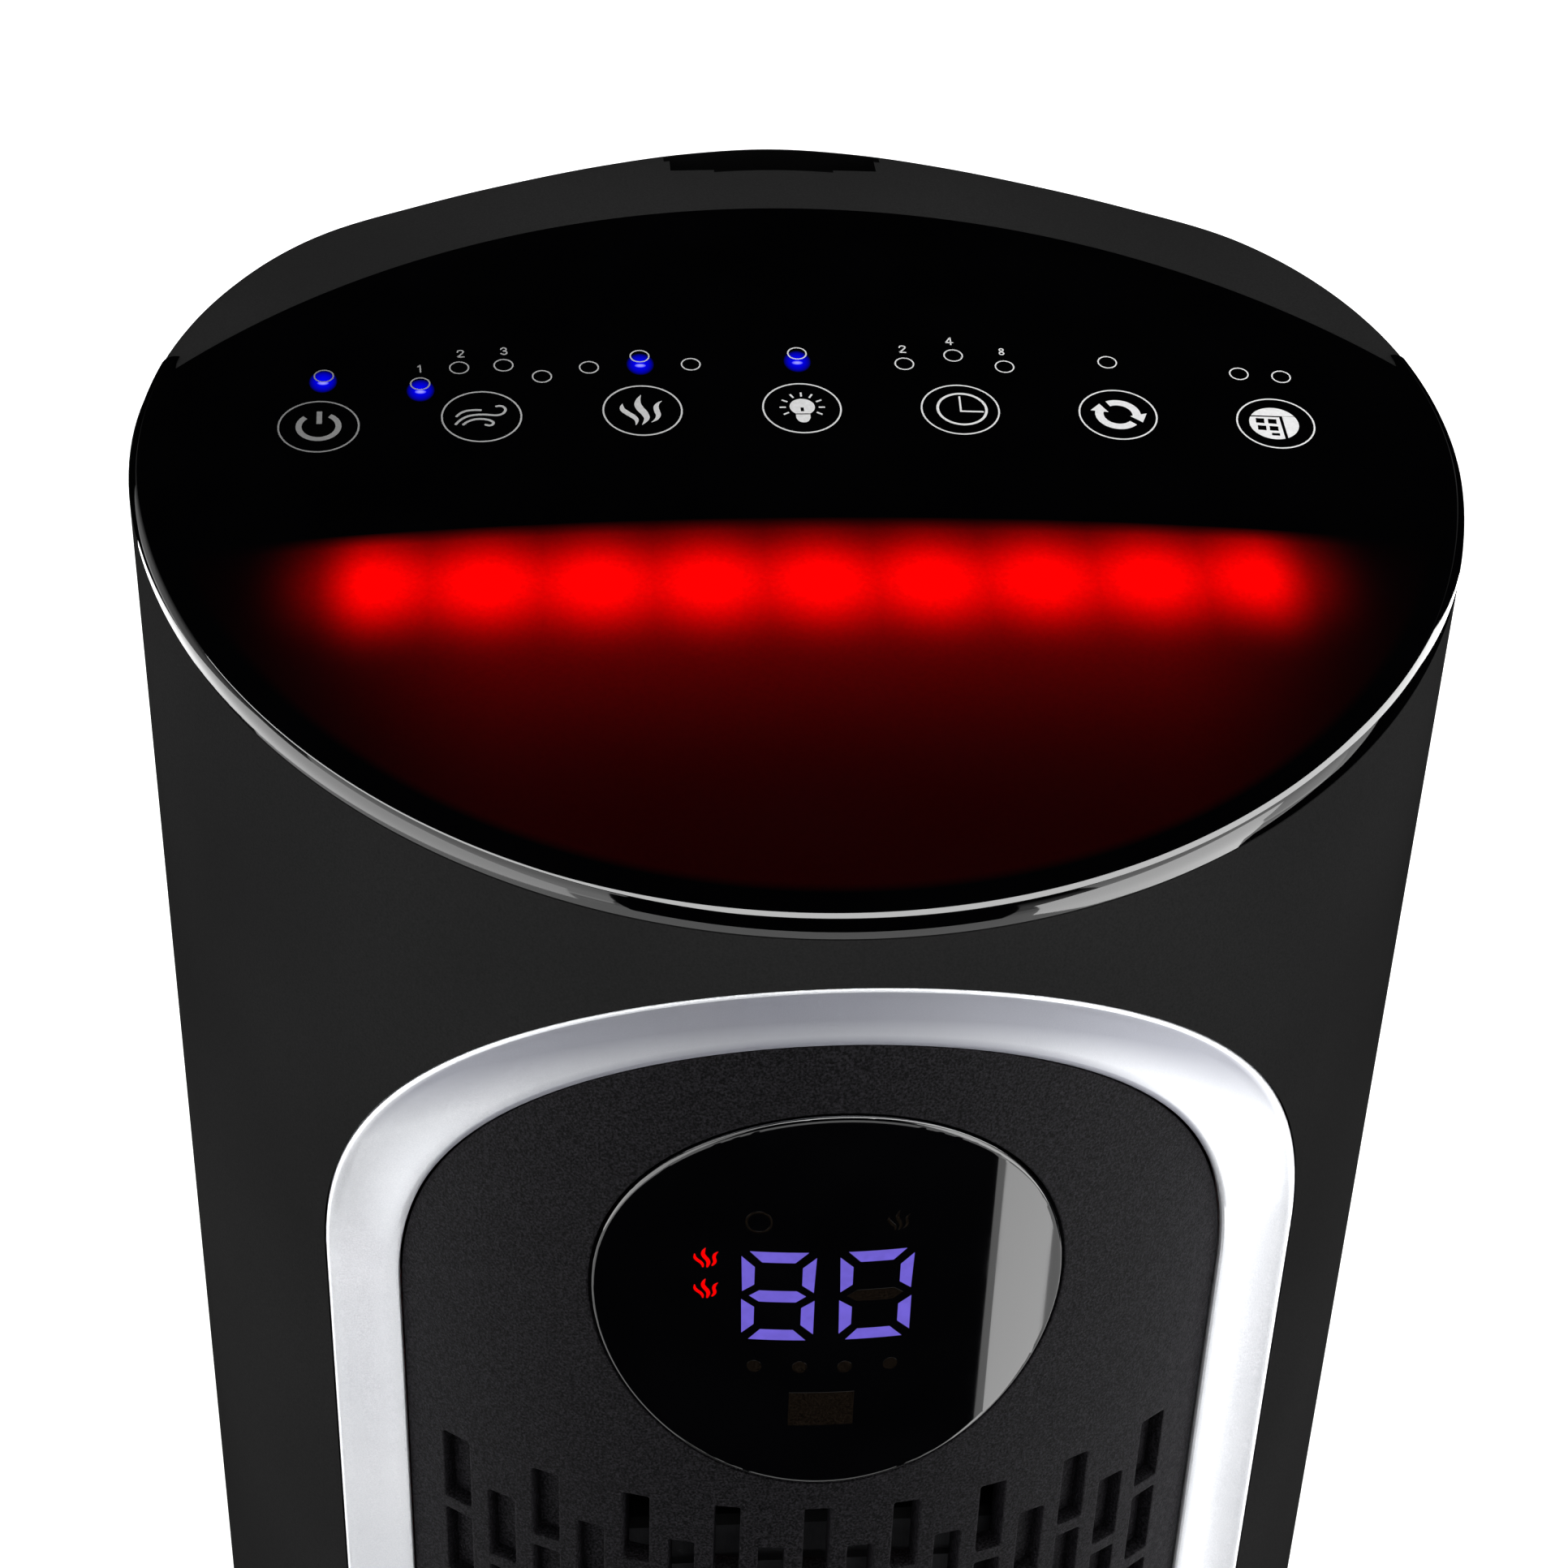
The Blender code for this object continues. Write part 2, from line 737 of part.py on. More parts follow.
def make_materials():
    return {
        "shell": material("matte_shell", (0.021, 0.021, 0.022), 0.62),
        "panel": material("grained_panel", (0.020, 0.019, 0.021), 0.70),
        "silver": material("silver_paint", (0.62, 0.65, 0.69), 0.38, 0.35),
        "gloss": material("gloss_black", (0.003, 0.003, 0.003), 0.06),
        "lens": material("display_glass", (0.004, 0.004, 0.004), 0.05),
        "red": material("light_red", (0.45, 0.01, 0.01), 0.30),
        "base": material("base_plastic", (0.018, 0.018, 0.019), 0.55),
        "inner": material("inner_plastic", (0.045, 0.045, 0.048), 0.55),
        "white": material("white_nylon", (0.70, 0.69, 0.66), 0.45),
        "steel": material("zinc_steel", (0.52, 0.53, 0.55), 0.35, 1.0),
        "iron": material("painted_iron", (0.05, 0.05, 0.055), 0.50, 0.4),
        "rubber": material("black_rubber", (0.012, 0.012, 0.012), 0.85),
        "board": material("board_green", (0.020, 0.11, 0.045), 0.40),
        "aluminium": material("heater_aluminium", (0.60, 0.61, 0.62), 0.40, 1.0),
        "filter": material("filter_paper", (0.80, 0.81, 0.79), 0.90),
        "mesh": material("prefilter_mesh", (0.03, 0.03, 0.03), 0.85),
    }


def base_places(radius, turn=0.0):
    """Four places round the base, between its front, sides and rear."""
    angles = [math.pi / 4 + i * math.pi / 2 + turn for i in range(4)]
    return [(radius * math.cos(a), radius * math.sin(a)) for a in angles]


def make_base(finish):
    """The weighted base with its feet, screws and gland."""
    pieces = []
    inner_height = base_height - base_wall
    corner = [
        (
            base_radius - base_round + base_round * math.cos(a),
            base_height - base_round + base_round * math.sin(a),
        )
        for a in spread(0, math.pi / 2, 4)
    ]
    inner_round = base_round - base_wall
    inner_corner = [
        (
            base_radius - base_round + inner_round * math.cos(a),
            base_height - base_round + inner_round * math.sin(a),
        )
        for a in spread(math.pi / 2, 0, 2)
    ]
    hole = hub_radius + hub_running_gap
    outline = [(base_radius, base_lip_height)] + corner + [(hole, base_height), (hole, inner_height)]
    outline += inner_corner + [(base_radius - base_wall, base_lip_height)]
    cover = make_object("base_cover", turned(outline, steps=56), finish["base"])
    boss_bottom = base_plate_top + clearance
    for place in base_places(boss_circle, boss_turn):
        join(cover, rod(boss_radius, boss_bottom, inner_height + clearance, place, 12))
    for place in base_places(boss_circle, boss_turn):
        pilot = base_screw_radius + clearance
        cut(cover, rod(pilot, base_lip_height, boss_bottom + base_screw_length, place, 10))
    gland_start = base_radius - gland_length - clearance
    gland_hole = along_y(
        rod(gland_radius + clearance, 0, gland_length + overrun, steps=20), (0, gland_start, gland_height)
    )
    cut(cover, gland_hole)
    pieces.append(cover)

    gland_face = base_radius - math.sqrt(base_radius**2 - gland_radius**2) + clearance
    collar_end = gland_length - base_wall - clearance * 3
    gland_outline = [
        (gland_bore, 0),
        (gland_collar_radius, 0),
        (gland_collar_radius, collar_end),
        (gland_radius, collar_end),
        (gland_radius, gland_length - gland_face),
        (gland_bore, gland_length - gland_face),
    ]
    gland = along_y(turned(gland_outline, steps=16), (0, base_radius - gland_length, gland_height))
    pieces.append(make_object("cord_gland", gland, finish["rubber"]))

    plate_radius = base_radius - base_wall - clearance
    plate = make_object(
        "base_plate", rod(plate_radius, base_plate_bottom, base_plate_top, steps=48), finish["base"]
    )
    for i, place in enumerate(base_places(boss_circle, boss_turn)):
        hole_radius = base_screw_radius + clearance
        cut(plate, rod(hole_radius, base_plate_bottom - overrun, base_plate_top + overrun, place, 10))
        sink_top = base_plate_bottom + screw_head_height + clearance
        cut(plate, rod(screw_head_radius + clearance, base_plate_bottom - overrun, sink_top, place, 12))
        pieces.append(
            screw(
                f"base_screw_{i + 1}",
                place,
                base_plate_bottom,
                base_screw_radius,
                base_screw_length,
                screw_head_radius,
                screw_head_height,
                finish["steel"],
            )
        )
    foot_outline = [
        (0, 0),
        (foot_radius - foot_round, 0),
        (foot_radius, foot_round),
        (foot_radius, foot_height),
        (0, foot_height),
    ]
    for i, place in enumerate(base_places(foot_circle)):
        foot = solid_turned(foot_outline, (*place, 0), 16)
        pieces.append(make_object(f"base_foot_{i + 1}", foot, finish["rubber"]))
    switch_hole = tip_plunger_radius + tip_running_gap
    cut(plate, rod(switch_hole, 0, base_plate_top + overrun, (tip_switch_place, 0), 16))
    pieces.append(plate)

    weight_bottom = base_plate_top + clearance
    weight_top = weight_bottom + weight_thickness
    weight = tube(weight_inner_radius, weight_outer_radius, weight_bottom, weight_top, steps=36)
    pieces.append(make_object("base_weight", weight, finish["iron"]))
    return pieces


def make_tip_switch(finish):
    """A switch box on the base plate, with a plunger that the floor pushes up."""
    bottom = base_plate_top + clearance
    top = bottom + tip_switch_height
    shape = box(
        (tip_switch_place - tip_switch_width / 2, -tip_switch_length / 2, bottom),
        (tip_switch_place + tip_switch_width / 2, tip_switch_length / 2, top),
    )
    switch = make_object("tip_switch", shape, finish["inner"])
    plunger_top = tip_floor_gap + tip_plunger_length
    collar_top = bottom + tip_travel + tip_collar_height + clearance * 2
    chamber = tip_plunger_collar_radius + tip_running_gap
    cut(switch, rod(chamber, bottom - overrun, collar_top + clearance, (tip_switch_place, 0), 16))
    bore = tip_plunger_radius + tip_running_gap
    cut(switch, rod(bore, bottom - overrun, plunger_top + clearance, (tip_switch_place, 0), 16))

    collar_bottom = collar_top - tip_collar_height
    outline = [
        (0, tip_floor_gap),
        (tip_plunger_radius, tip_floor_gap),
        (tip_plunger_radius, collar_bottom),
        (tip_plunger_collar_radius, collar_bottom),
        (tip_plunger_collar_radius, collar_top),
        (tip_plunger_radius, collar_top),
        (tip_plunger_radius, plunger_top),
        (0, plunger_top),
    ]
    shape = solid_turned(outline, (tip_switch_place, 0, 0), 12)
    plunger = make_object("tip_plunger", shape, finish["white"])
    return switch, plunger


def make_drive(finish):
    """The gearmotor with its pinion, and the toothed ring under the turntable that it drives."""
    bottom = base_plate_top + clearance
    top = bottom + gearmotor_height
    motor = make_object(
        "oscillation_motor", rod(gearmotor_radius, bottom, top, (pinion_place, 0), 24), finish["steel"]
    )
    boss_top = top + gearmotor_boss_height
    join(motor, rod(gearmotor_boss_radius, top - clearance, boss_top, (pinion_place, 0), 14))
    ear = gearmotor_radius + gearmotor_ear_length
    join(
        motor,
        box(
            (pinion_place - gearmotor_ear_width / 2, -ear, top - gearmotor_ear_thickness),
            (pinion_place + gearmotor_ear_width / 2, ear, top - clearance),
        ),
    )
    shaft_bottom_place = pinion_bottom - pinion_shaft_length
    bore = pinion_shaft_radius + shaft_gap
    cut(motor, rod(bore, shaft_bottom_place - clearance, boss_top + overrun, (pinion_place, 0), 12))

    outline = tooth_outline(pinion_teeth, pinion_addendum, math.pi + math.pi / pinion_teeth)
    placed = [(x + pinion_place, y) for x, y in outline]
    pinion = make_object(
        "oscillation_pinion",
        prism(placed, pinion_bottom, pinion_bottom + pinion_thickness),
        finish["white"],
    )
    shaft_top_place = pinion_bottom + clearance
    join(pinion, rod(pinion_shaft_radius, shaft_bottom_place, shaft_top_place, (pinion_place, 0), 12))

    rim = tooth_outline(gear_teeth, gear_addendum, 0, gear_toothed_half_angle)
    gear = make_object("oscillation_gear", prism(rim, gear_bottom, gear_top), finish["white"])
    cut(gear, rod(gear_bore, gear_bottom - overrun, gear_top + overrun, steps=24))
    screws = []
    for i in range(3):
        angle = math.pi / 6 + i * math.tau / 3
        place = (gear_screw_circle * math.cos(angle), gear_screw_circle * math.sin(angle))
        hole = gear_screw_radius + clearance
        cut(gear, rod(hole, gear_bottom - overrun, gear_top + overrun, place, 10))
        screws.append(
            screw(
                f"gear_screw_{i + 1}",
                place,
                gear_bottom - clearance - gear_screw_head_height,
                gear_screw_radius,
                gear_screw_length,
                gear_screw_head_radius,
                gear_screw_head_height,
                finish["steel"],
            )
        )
    return motor, pinion, gear, screws


def make_turntable(finish):
    """The plate that carries the tower, on a slide ring."""
    bearing_top = bearing_bottom + bearing_height
    ring = tube(bearing_inner_radius, bearing_outer_radius, bearing_bottom, bearing_top, steps=32)
    bearing = make_object("bearing_ring", ring, finish["white"])
    hub_bottom = gear_top + clearance
    plate_radius = shell_inner_radius - clearance
    outline = [
        (hub_bore, hub_bottom),
        (hub_radius, hub_bottom),
        (hub_radius, turntable_bottom),
        (plate_radius, turntable_bottom),
        (plate_radius, turntable_top),
        (hub_bore, turntable_top),
    ]
    plate = make_object("turntable", turned(outline, steps=48), finish["inner"])
    pilot_top = gear_bottom - clearance + gear_screw_length + clearance * 2
    for i in range(3):
        angle = math.pi / 6 + i * math.tau / 3
        place = (gear_screw_circle * math.cos(angle), gear_screw_circle * math.sin(angle))
        cut(plate, rod(gear_screw_radius + clearance, hub_bottom - overrun, pilot_top, place, 10))
    return bearing, plate


def make_shells(finish):
    """The two half shells of the tower."""
    front_half = math.pi - seam_angle - clearance / body_radius
    lowered = shell_wall * shoulder_offset_share
    loops = []
    for angle in spread(-front_half, front_half, 52):
        rim = rim_radius(angle)
        outer = front_point(angle, body_radius)
        inner = front_point(angle, shell_inner_radius)
        loop = [(*inner, tower_bottom), (*outer, tower_bottom)]
        foot = shoulder_foot(angle, lid_plane(front_point(angle, rim)[1]))
        loop.append((*outer, foot))
        for x, y in (front_point(angle, rim), front_point(angle, rim - shell_wall)):
            loop.append((x, y, lid_plane(y) - lid_drop - clearance))
        loop.append((*inner, foot - lowered))
        loops.append(loop)
    front = make_object("body_front", loft(loops), finish["shell"])
    window = arch(window_half_width, window_top, window_bottom, window_rise)
    cut(front, prism_along_y(window, -body_radius - overrun, 0))

    rear_half = seam_angle
    directions = [rear_point(a, 1) for a in spread(-rear_half, rear_half, 48)]
    rear = make_object(
        "body_rear",
        curved_wall(
            directions,
            shell_inner_radius,
            body_radius,
            tower_bottom,
            shell_top_height - clearance,
        ),
        finish["shell"],
    )
    opening_half = door_half_angle + clearance / body_radius
    opening = curved_wall(
        [rear_point(a, 1) for a in spread(-opening_half, opening_half, 8)],
        shell_inner_radius - overrun,
        body_radius + overrun,
        door_bottom - clearance,
        door_top + door_top_gap,
    )
    cut(rear, opening)
    notch_half = latch_tongue_width / 2 + clearance
    inner = shell_inner_radius
    notch_top = door_top + door_top_gap + latch_tongue_height
    notch = box(
        (-notch_half, inner - overrun, door_top),
        (notch_half, inner + latch_tongue_thickness + clearance, notch_top),
    )
    cut(rear, notch)
    return front, rear


def make_bezel(finish):
    """The silver frame in the front window: its face slopes in to the grille panel."""
    outer = arch(
        window_half_width - clearance, window_top - clearance, window_bottom + clearance, window_rise
    )
    inner = arch(panel_half_width, panel_top, panel_bottom, panel_rise)
    loops = []
    for (ox, oz), (ix, iz) in zip(outer, inner):
        outer_y = -math.sqrt(body_radius**2 - ox * ox)
        inner_y = -math.sqrt(panel_radius**2 - ix * ix)
        loops.append(
            [
                (ox, outer_y, oz),
                (ix, inner_y, iz),
                (ix, inner_y + bezel_depth, iz),
                (ox, outer_y + bezel_depth, oz),
            ]
        )
    return make_object("front_bezel", loft(loops, closed=True), finish["silver"])


def slot_middle(column):
    return column * slot_pitch


def slot_rows(column):
    """The heights of the tops of a column's slots. Each second column is half a row lower."""
    top = slot_first_top - (slot_row_pitch / 2 if column % 2 else 0)
    rows = []
    inset = slot_pitch
    while top - slot_height > slot_last_bottom:
        bottom = top - slot_height
        reach = abs(slot_middle(column)) + inset
        side = math.sqrt(max(0, 1 - (reach / panel_half_width) ** 2))
        if bottom > panel_bottom + panel_rise * (1 - side) + inset:
            rows.append(top)
        top -= slot_row_pitch
    return rows


def grille_slots():
    """Cutters for the panel's slots: the middle columns go through, and the outer ones are blind."""
    cutters = []
    for column in range(-slot_columns_each_side, slot_columns_each_side + 1):
        angle = math.asin(slot_middle(column) / panel_front_radius)
        half = slot_width / math.cos(angle) / 2
        reach = panel_front_radius * math.cos(math.asin(slot_pitch / 2 / panel_front_radius))
        is_open = abs(column) <= open_columns_each_side
        depth = panel_thickness + overrun if is_open else blind_slot_depth
        turn = Matrix.Rotation(angle, 4, "Z")
        for top in slot_rows(column):
            slot = box((-half, -reach - overrun, top - slot_height), (half, -reach + depth, top))
            cutters.append(moved(slot, turn))
    return merged(*cutters)


def make_grille(finish):
    """The grained black panel in the bezel, with its rows of slots and a hole for the lens."""
    outermost = slot_columns_each_side + 1
    edges = [slot_middle(column) + slot_pitch / 2 for column in range(-outermost, outermost)]
    half = panel_half_width + clearance
    angles = [math.asin(x / panel_front_radius) for x in [-half] + edges + [half]]
    panel = make_object(
        "front_grille",
        curved_wall(
            [front_point(a, 1) for a in angles],
            panel_front_radius - panel_thickness,
            panel_front_radius,
            panel_bottom - overrun,
            panel_top + overrun,
        ),
        finish["panel"],
    )
    outline = arch(
        panel_half_width - clearance, panel_top - clearance, panel_bottom + clearance, panel_rise
    )
    keep_inside(panel, prism_along_y(outline, -body_radius, 0))
    cut(panel, grille_slots())
    hole = circle(lens_radius + clearance, (0, lens_height), 40)
    cut(panel, prism_along_y(hole, -body_radius, -body_radius / 2))
    return panel


def make_display(finish):
    """The dark curved lens and the display board behind it."""
    outer = panel_front_radius + lens_proud
    half = math.asin(lens_radius / outer) * lens_block_share
    lens = make_object(
        "display_lens",
        curved_wall(
            [front_point(a, 1) for a in spread(-half, half, lens_columns)],
            outer - lens_thickness,
            outer,
            lens_height - lens_radius - overrun,
            lens_height + lens_radius + overrun,
        ),
        finish["lens"],
    )
    keep_inside(lens, prism_along_y(circle(lens_radius, (0, lens_height), 40), -body_radius, 0))
    half_width = display_width / 2
    front = math.sqrt((outer - lens_thickness - clearance * 2) ** 2 - half_width**2)
    board = box(
        (-half_width, -front, lens_height - display_height / 2),
        (half_width, -front + display_thickness, lens_height + display_height / 2),
    )
    return lens, make_object("display_board", board, finish["board"])


def make_lid(finish):
    """The glossy touch plate. Its round edge follows the tower, and its rear edge is an arc."""
    loops = [lid_loop(0, lid_drop), lid_loop(0, edge_round)]
    for turn in spread(0, math.pi / 2, 3)[1:]:
        loops.append(lid_loop(edge_round * (1 - math.cos(turn)), edge_round * (1 - math.sin(turn))))
    return make_object("touch_lid", loft(loops), finish["gloss"])


def make_top_cover(finish):
    """The matte deck behind the lid, the tray that carries the lid's boards and the remote's pocket."""
    cover = make_object("top_cover", deck_block(0, shell_top_height), finish["shell"])
    cut(cover, deck_block(shell_wall, shell_top_height - overrun))
    join(cover, pocket_prism(pocket_wall, pocket_floor - pocket_wall, -shell_wall / 2))
    cut(cover, pocket_prism(0, pocket_floor, overrun))
    tray = []
    for drop in (tray_drop + tray_thickness, tray_drop):
        tray.append([(x, y, lid_plane(y) - drop) for x, y in tray_outline()])
    join(cover, loft(tray))
    return cover


def tray_outline():
    """From just inside the front shell to the wall under the lid's rear edge."""
    rim = [front_point(a, tray_radius) for a in spread(-tray_half_angle, tray_half_angle, 24)]
    outline = [(x, max(y, tray_front)) for x, y in rim]
    rear_x = tray_radius * tray_corner_share
    for x in spread(rear_x, -rear_x, 12):
        outline.append((x, lid_arc_y(x, shell_wall)))
    return outline


def pocket_prism(grow, bottom, rise):
    """The pocket's shape, flat at the front and along the rim at the rear, up to rise above the deck."""
    half = pocket_width / 2 + grow
    front = deck_ridge(0)[1] - pocket_lip - pocket_depth - grow
    outline = [(x, front) for x in spread(-half, half, 4)]
    for x in spread(half, -half, 8):
        outline.append((x, deck_ridge(x)[1] - pocket_lip + grow))
    floor = [(x, y, bottom) for x, y in outline]
    return loft([floor, [(x, y, deck_height(x, y) + rise) for x, y in outline]])


def make_lid_boards(finish):
    """The touch board under the lid, and the bar of lamps in front of it."""
    half = touch_board_half_width
    near = lid_drop + clearance
    outline = [(-half, touch_board_front), (half, touch_board_front)]
    rear_half = half * touch_board_corner_share
    rear = lid_arc_y(rear_half) - touch_board_rear_gap
    outline += [(half, 0), (rear_half, rear), (-rear_half, rear), (-half, 0)]
    loops = []
    for drop in (near + board_thickness, near):
        loops.append([(x, y, lid_plane(y) - drop) for x, y in outline])
    touch = make_object("touch_board", loft(loops), finish["board"])

    bar_half = light_pitch * light_count / 2
    bar_top = near + light_height
    loops = []
    for drop in (bar_top + board_thickness, bar_top):
        loops.append(
            [
                (x, y, lid_plane(y) - drop)
                for x, y in (
                    (-bar_half, light_place - light_bar_width / 2),
                    (bar_half, light_place - light_bar_width / 2),
                    (bar_half, light_place + light_bar_width / 2),
                    (-bar_half, light_place + light_bar_width / 2),
                )
            ]
        )
    bar = make_object("light_bar", loft(loops), finish["red"])
    for i in range(light_count):
        middle = (i - (light_count - 1) / 2) * light_pitch
        loops = []
        for drop in (bar_top + board_thickness / 2, near):
            corners = [
                (middle + sx * light_size / 2, light_place + sy * light_size / 2)
                for sx, sy in ((-1, -1), (1, -1), (1, 1), (-1, 1))
            ]
            loops.append([(x, y, lid_plane(y) - drop) for x, y in corners])
        join(bar, loft(loops))
    return touch, bar


def scroll_path():
    """The spiral wall from the rear of the wheel round its left side to the duct."""
    path = []
    for angle in spread(scroll_start, scroll_end, scroll_steps):
        share = (angle - scroll_start) / (scroll_end - scroll_start)
        radius = wheel_radius + scroll_inner_gap + (scroll_outer_gap - scroll_inner_gap) * share
        path.append((radius * math.cos(angle), wheel_place + radius * math.sin(angle)))
    path += [(-duct_half_width, -duct_rear), (-duct_half_width, -duct_front)]
    return path


def tongue_path():
    radius = wheel_radius + scroll_inner_gap
    tongue = (radius * math.cos(tongue_angle), wheel_place + radius * math.sin(tongue_angle))
    return [(duct_half_width, -duct_front), (duct_half_width, -duct_rear), tongue]


def housing_plate():
    side = duct_half_width + scroll_wall
    outline = [(-side, -duct_front), (side, -duct_front), (side, -duct_rear)]
    for angle in spread(-housing_plate_gap, math.pi + housing_plate_gap, 20):
        x, y = housing_plate_radius * math.cos(angle), housing_plate_radius * math.sin(angle)
        outline.append((x, wheel_place + y))
    outline.append((-side, -duct_rear))
    return outline


def make_blower(finish):
    """The crossflow wheel in its scroll housing, with its motor below and its bush above."""
    housing = make_object(
        "fan_housing",
        prism(housing_plate(), housing_bottom, housing_bottom + housing_wall),
        finish["inner"],
    )
    wall_low = housing_bottom + housing_wall / 2
    wall_high = housing_top - housing_wall / 2
    join(housing, prism(housing_plate(), housing_top - housing_wall, housing_top))
    join(housing, wall_strip(scroll_path(), -scroll_wall, wall_low, wall_high))
    join(housing, wall_strip(tongue_path(), -scroll_wall, wall_low, wall_high))
    post_bottom = turntable_top + clearance
    for angle in (math.pi / 2, math.pi + housing_post_turn, -housing_post_turn):
        place = (
            housing_post_circle * math.cos(angle),
            wheel_place + housing_post_circle * math.sin(angle),
        )
        join(housing, rod(housing_post_radius, post_bottom, wall_low, place, 10))
    centre = (0, wheel_place)
    shaft_hole = damper_inner_radius - clearance
    cut(housing, rod(shaft_hole, housing_bottom - overrun, wall_low + overrun, centre, 18))
    cut(housing, rod(bush_radius + clearance, wall_high - overrun, housing_top + overrun, centre, 18))

    wheel = make_object("blower_wheel", wheel_discs(), finish["inner"])
    join(wheel, wheel_blade_set())
    bore = shaft_radius + clearance
    cut(wheel, rod(bore, wheel_bottom - overrun, shaft_top + clearance, centre, 14))

    shaft_shape = rod(shaft_radius, shaft_bottom, shaft_top, centre, 14)
    shaft = make_object("motor_shaft", shaft_shape, finish["steel"])

    motor_top = housing_bottom - damper_height - clearance * 2
    motor_bottom = motor_top - motor_height
    outline = [
        (0, motor_bottom),
        (motor_radius - motor_round, motor_bottom),
        (motor_radius, motor_bottom + motor_round),
        (motor_radius, motor_top - motor_round),
        (motor_radius - motor_round, motor_top),
        (0, motor_top),
    ]
    motor = make_object("fan_motor", solid_turned(outline, (0, wheel_place, 0), 28), finish["iron"])
    cut(motor, rod(shaft_radius + shaft_gap, shaft_bottom - clearance, motor_top + overrun, centre, 14))

    ring = tube(
        damper_inner_radius,
        damper_outer_radius,
        housing_bottom - clearance - damper_height,
        housing_bottom - clearance,
        (0, wheel_place, 0),
        24,
    )
    damper = make_object("motor_damper", ring, finish["rubber"])

    flange_bottom = housing_top + clearance
    bush_bottom = housing_top - housing_wall
    bush_outline = [
        (shaft_radius + shaft_gap, bush_bottom),
        (bush_radius, bush_bottom),
        (bush_radius, flange_bottom),
        (bush_flange_radius, flange_bottom),
        (bush_flange_radius, flange_bottom + bush_flange_height),
        (shaft_radius + shaft_gap, flange_bottom + bush_flange_height),
    ]
    bush = make_object("top_bush", turned(bush_outline, (0, wheel_place, 0), 18), finish["rubber"])
    return housing, wheel, shaft, motor, damper, bush


def wheel_discs():
    """The wheel's end discs, its middle ring, its hub and its top pin, not yet joined by blades."""
    centre = (0, wheel_place)
    middle = (wheel_bottom + wheel_top - wheel_disc_thickness) / 2
    hub_top = wheel_bottom + wheel_hub_height
    lower = solid_turned(
        [
            (0, wheel_bottom),
            (wheel_radius, wheel_bottom),
            (wheel_radius, wheel_bottom + wheel_disc_thickness),
            (wheel_hub_radius, wheel_bottom + wheel_disc_thickness),
            (wheel_hub_radius, hub_top),
            (0, hub_top),
        ],
        (*centre, 0),
        28,
    )
    ring = tube(
        wheel_radius - wheel_ring_width,
        wheel_radius,
        middle,
        middle + wheel_disc_thickness,
        (*centre, 0),
        28,
    )
    pin_top = wheel_top + wheel_pin_length
    upper = solid_turned(
        [
            (0, wheel_top - wheel_disc_thickness),
            (wheel_radius, wheel_top - wheel_disc_thickness),
            (wheel_radius, wheel_top),
            (shaft_radius, wheel_top),
            (shaft_radius, pin_top),
            (0, pin_top),
        ],
        (*centre, 0),
        28,
    )
    return merged(lower, ring, upper)


def wheel_blade_set():
    low = wheel_bottom + wheel_disc_thickness / 2
    high = wheel_top - wheel_disc_thickness / 2
    blades = []
    for i in range(wheel_blades):
        side, end = blade_thickness / 2, blade_chord / 2
        blade = box((-side, -end, low), (side, end, high))
        slant = Matrix.Rotation(blade_angle, 4, "Z")
        out = Matrix.Translation((0, wheel_radius - blade_inset, 0))
        round_axis = Matrix.Rotation(math.tau * i / wheel_blades, 4, "Z")
        blades.append(moved(blade, Matrix.Translation(wheel_centre) @ round_axis @ out @ slant))
    return merged(*blades)


def make_heater(finish):
    """A finned heating element in a frame at the mouth of the duct, with a thermal cutout on it."""
    outer_half = duct_half_width - clearance
    frame_low = heater_bottom - heater_frame_wall
    frame_high = heater_top + heater_frame_wall
    rear = -heater_front + heater_depth
    frame = make_object(
        "heater_frame",
        box((-outer_half, -heater_front, frame_low), (outer_half, rear, frame_high)),
        finish["white"],
    )
    cut(
        frame,
        box(
            (-heater_half_width, -heater_front - overrun, heater_bottom),
            (heater_half_width, rear + overrun, heater_top),
        ),
    )
    element_half = heater_half_width - clearance
    element_low = heater_bottom + clearance
    element_high = heater_top - clearance
    pitch = (element_high - element_low) / heater_fins
    front_side = []
    rear_side = []
    for i in range(heater_fins):
        low = element_low + i * pitch
        for share, sink in ((0, 0), (fin_share, 0), (fin_share, heater_fin_depth), (1, heater_fin_depth)):
            front_side.append((-heater_front + clearance + sink, low + share * pitch))
            rear_side.append((rear - clearance - sink, low + share * pitch))
    outline = front_side + rear_side[::-1]
    element = loft([[(x, y, z) for y, z in outline] for x in (-element_half, element_half)])
    heater = make_object("ptc_heater", element, finish["aluminium"])

    cutout_bottom = frame_high + clearance
    cutout_outline = [
        (0, cutout_bottom),
        (cutout_radius, cutout_bottom),
        (cutout_radius, cutout_bottom + cutout_height / 2),
        (cutout_radius / 2, cutout_bottom + cutout_height),
        (0, cutout_bottom + cutout_height),
    ]
    middle = -heater_front + heater_depth / 2
    shape = solid_turned(cutout_outline, (0, middle, 0), 14)
    cutout = make_object("thermal_cutout", shape, finish["steel"])
    return frame, heater, cutout


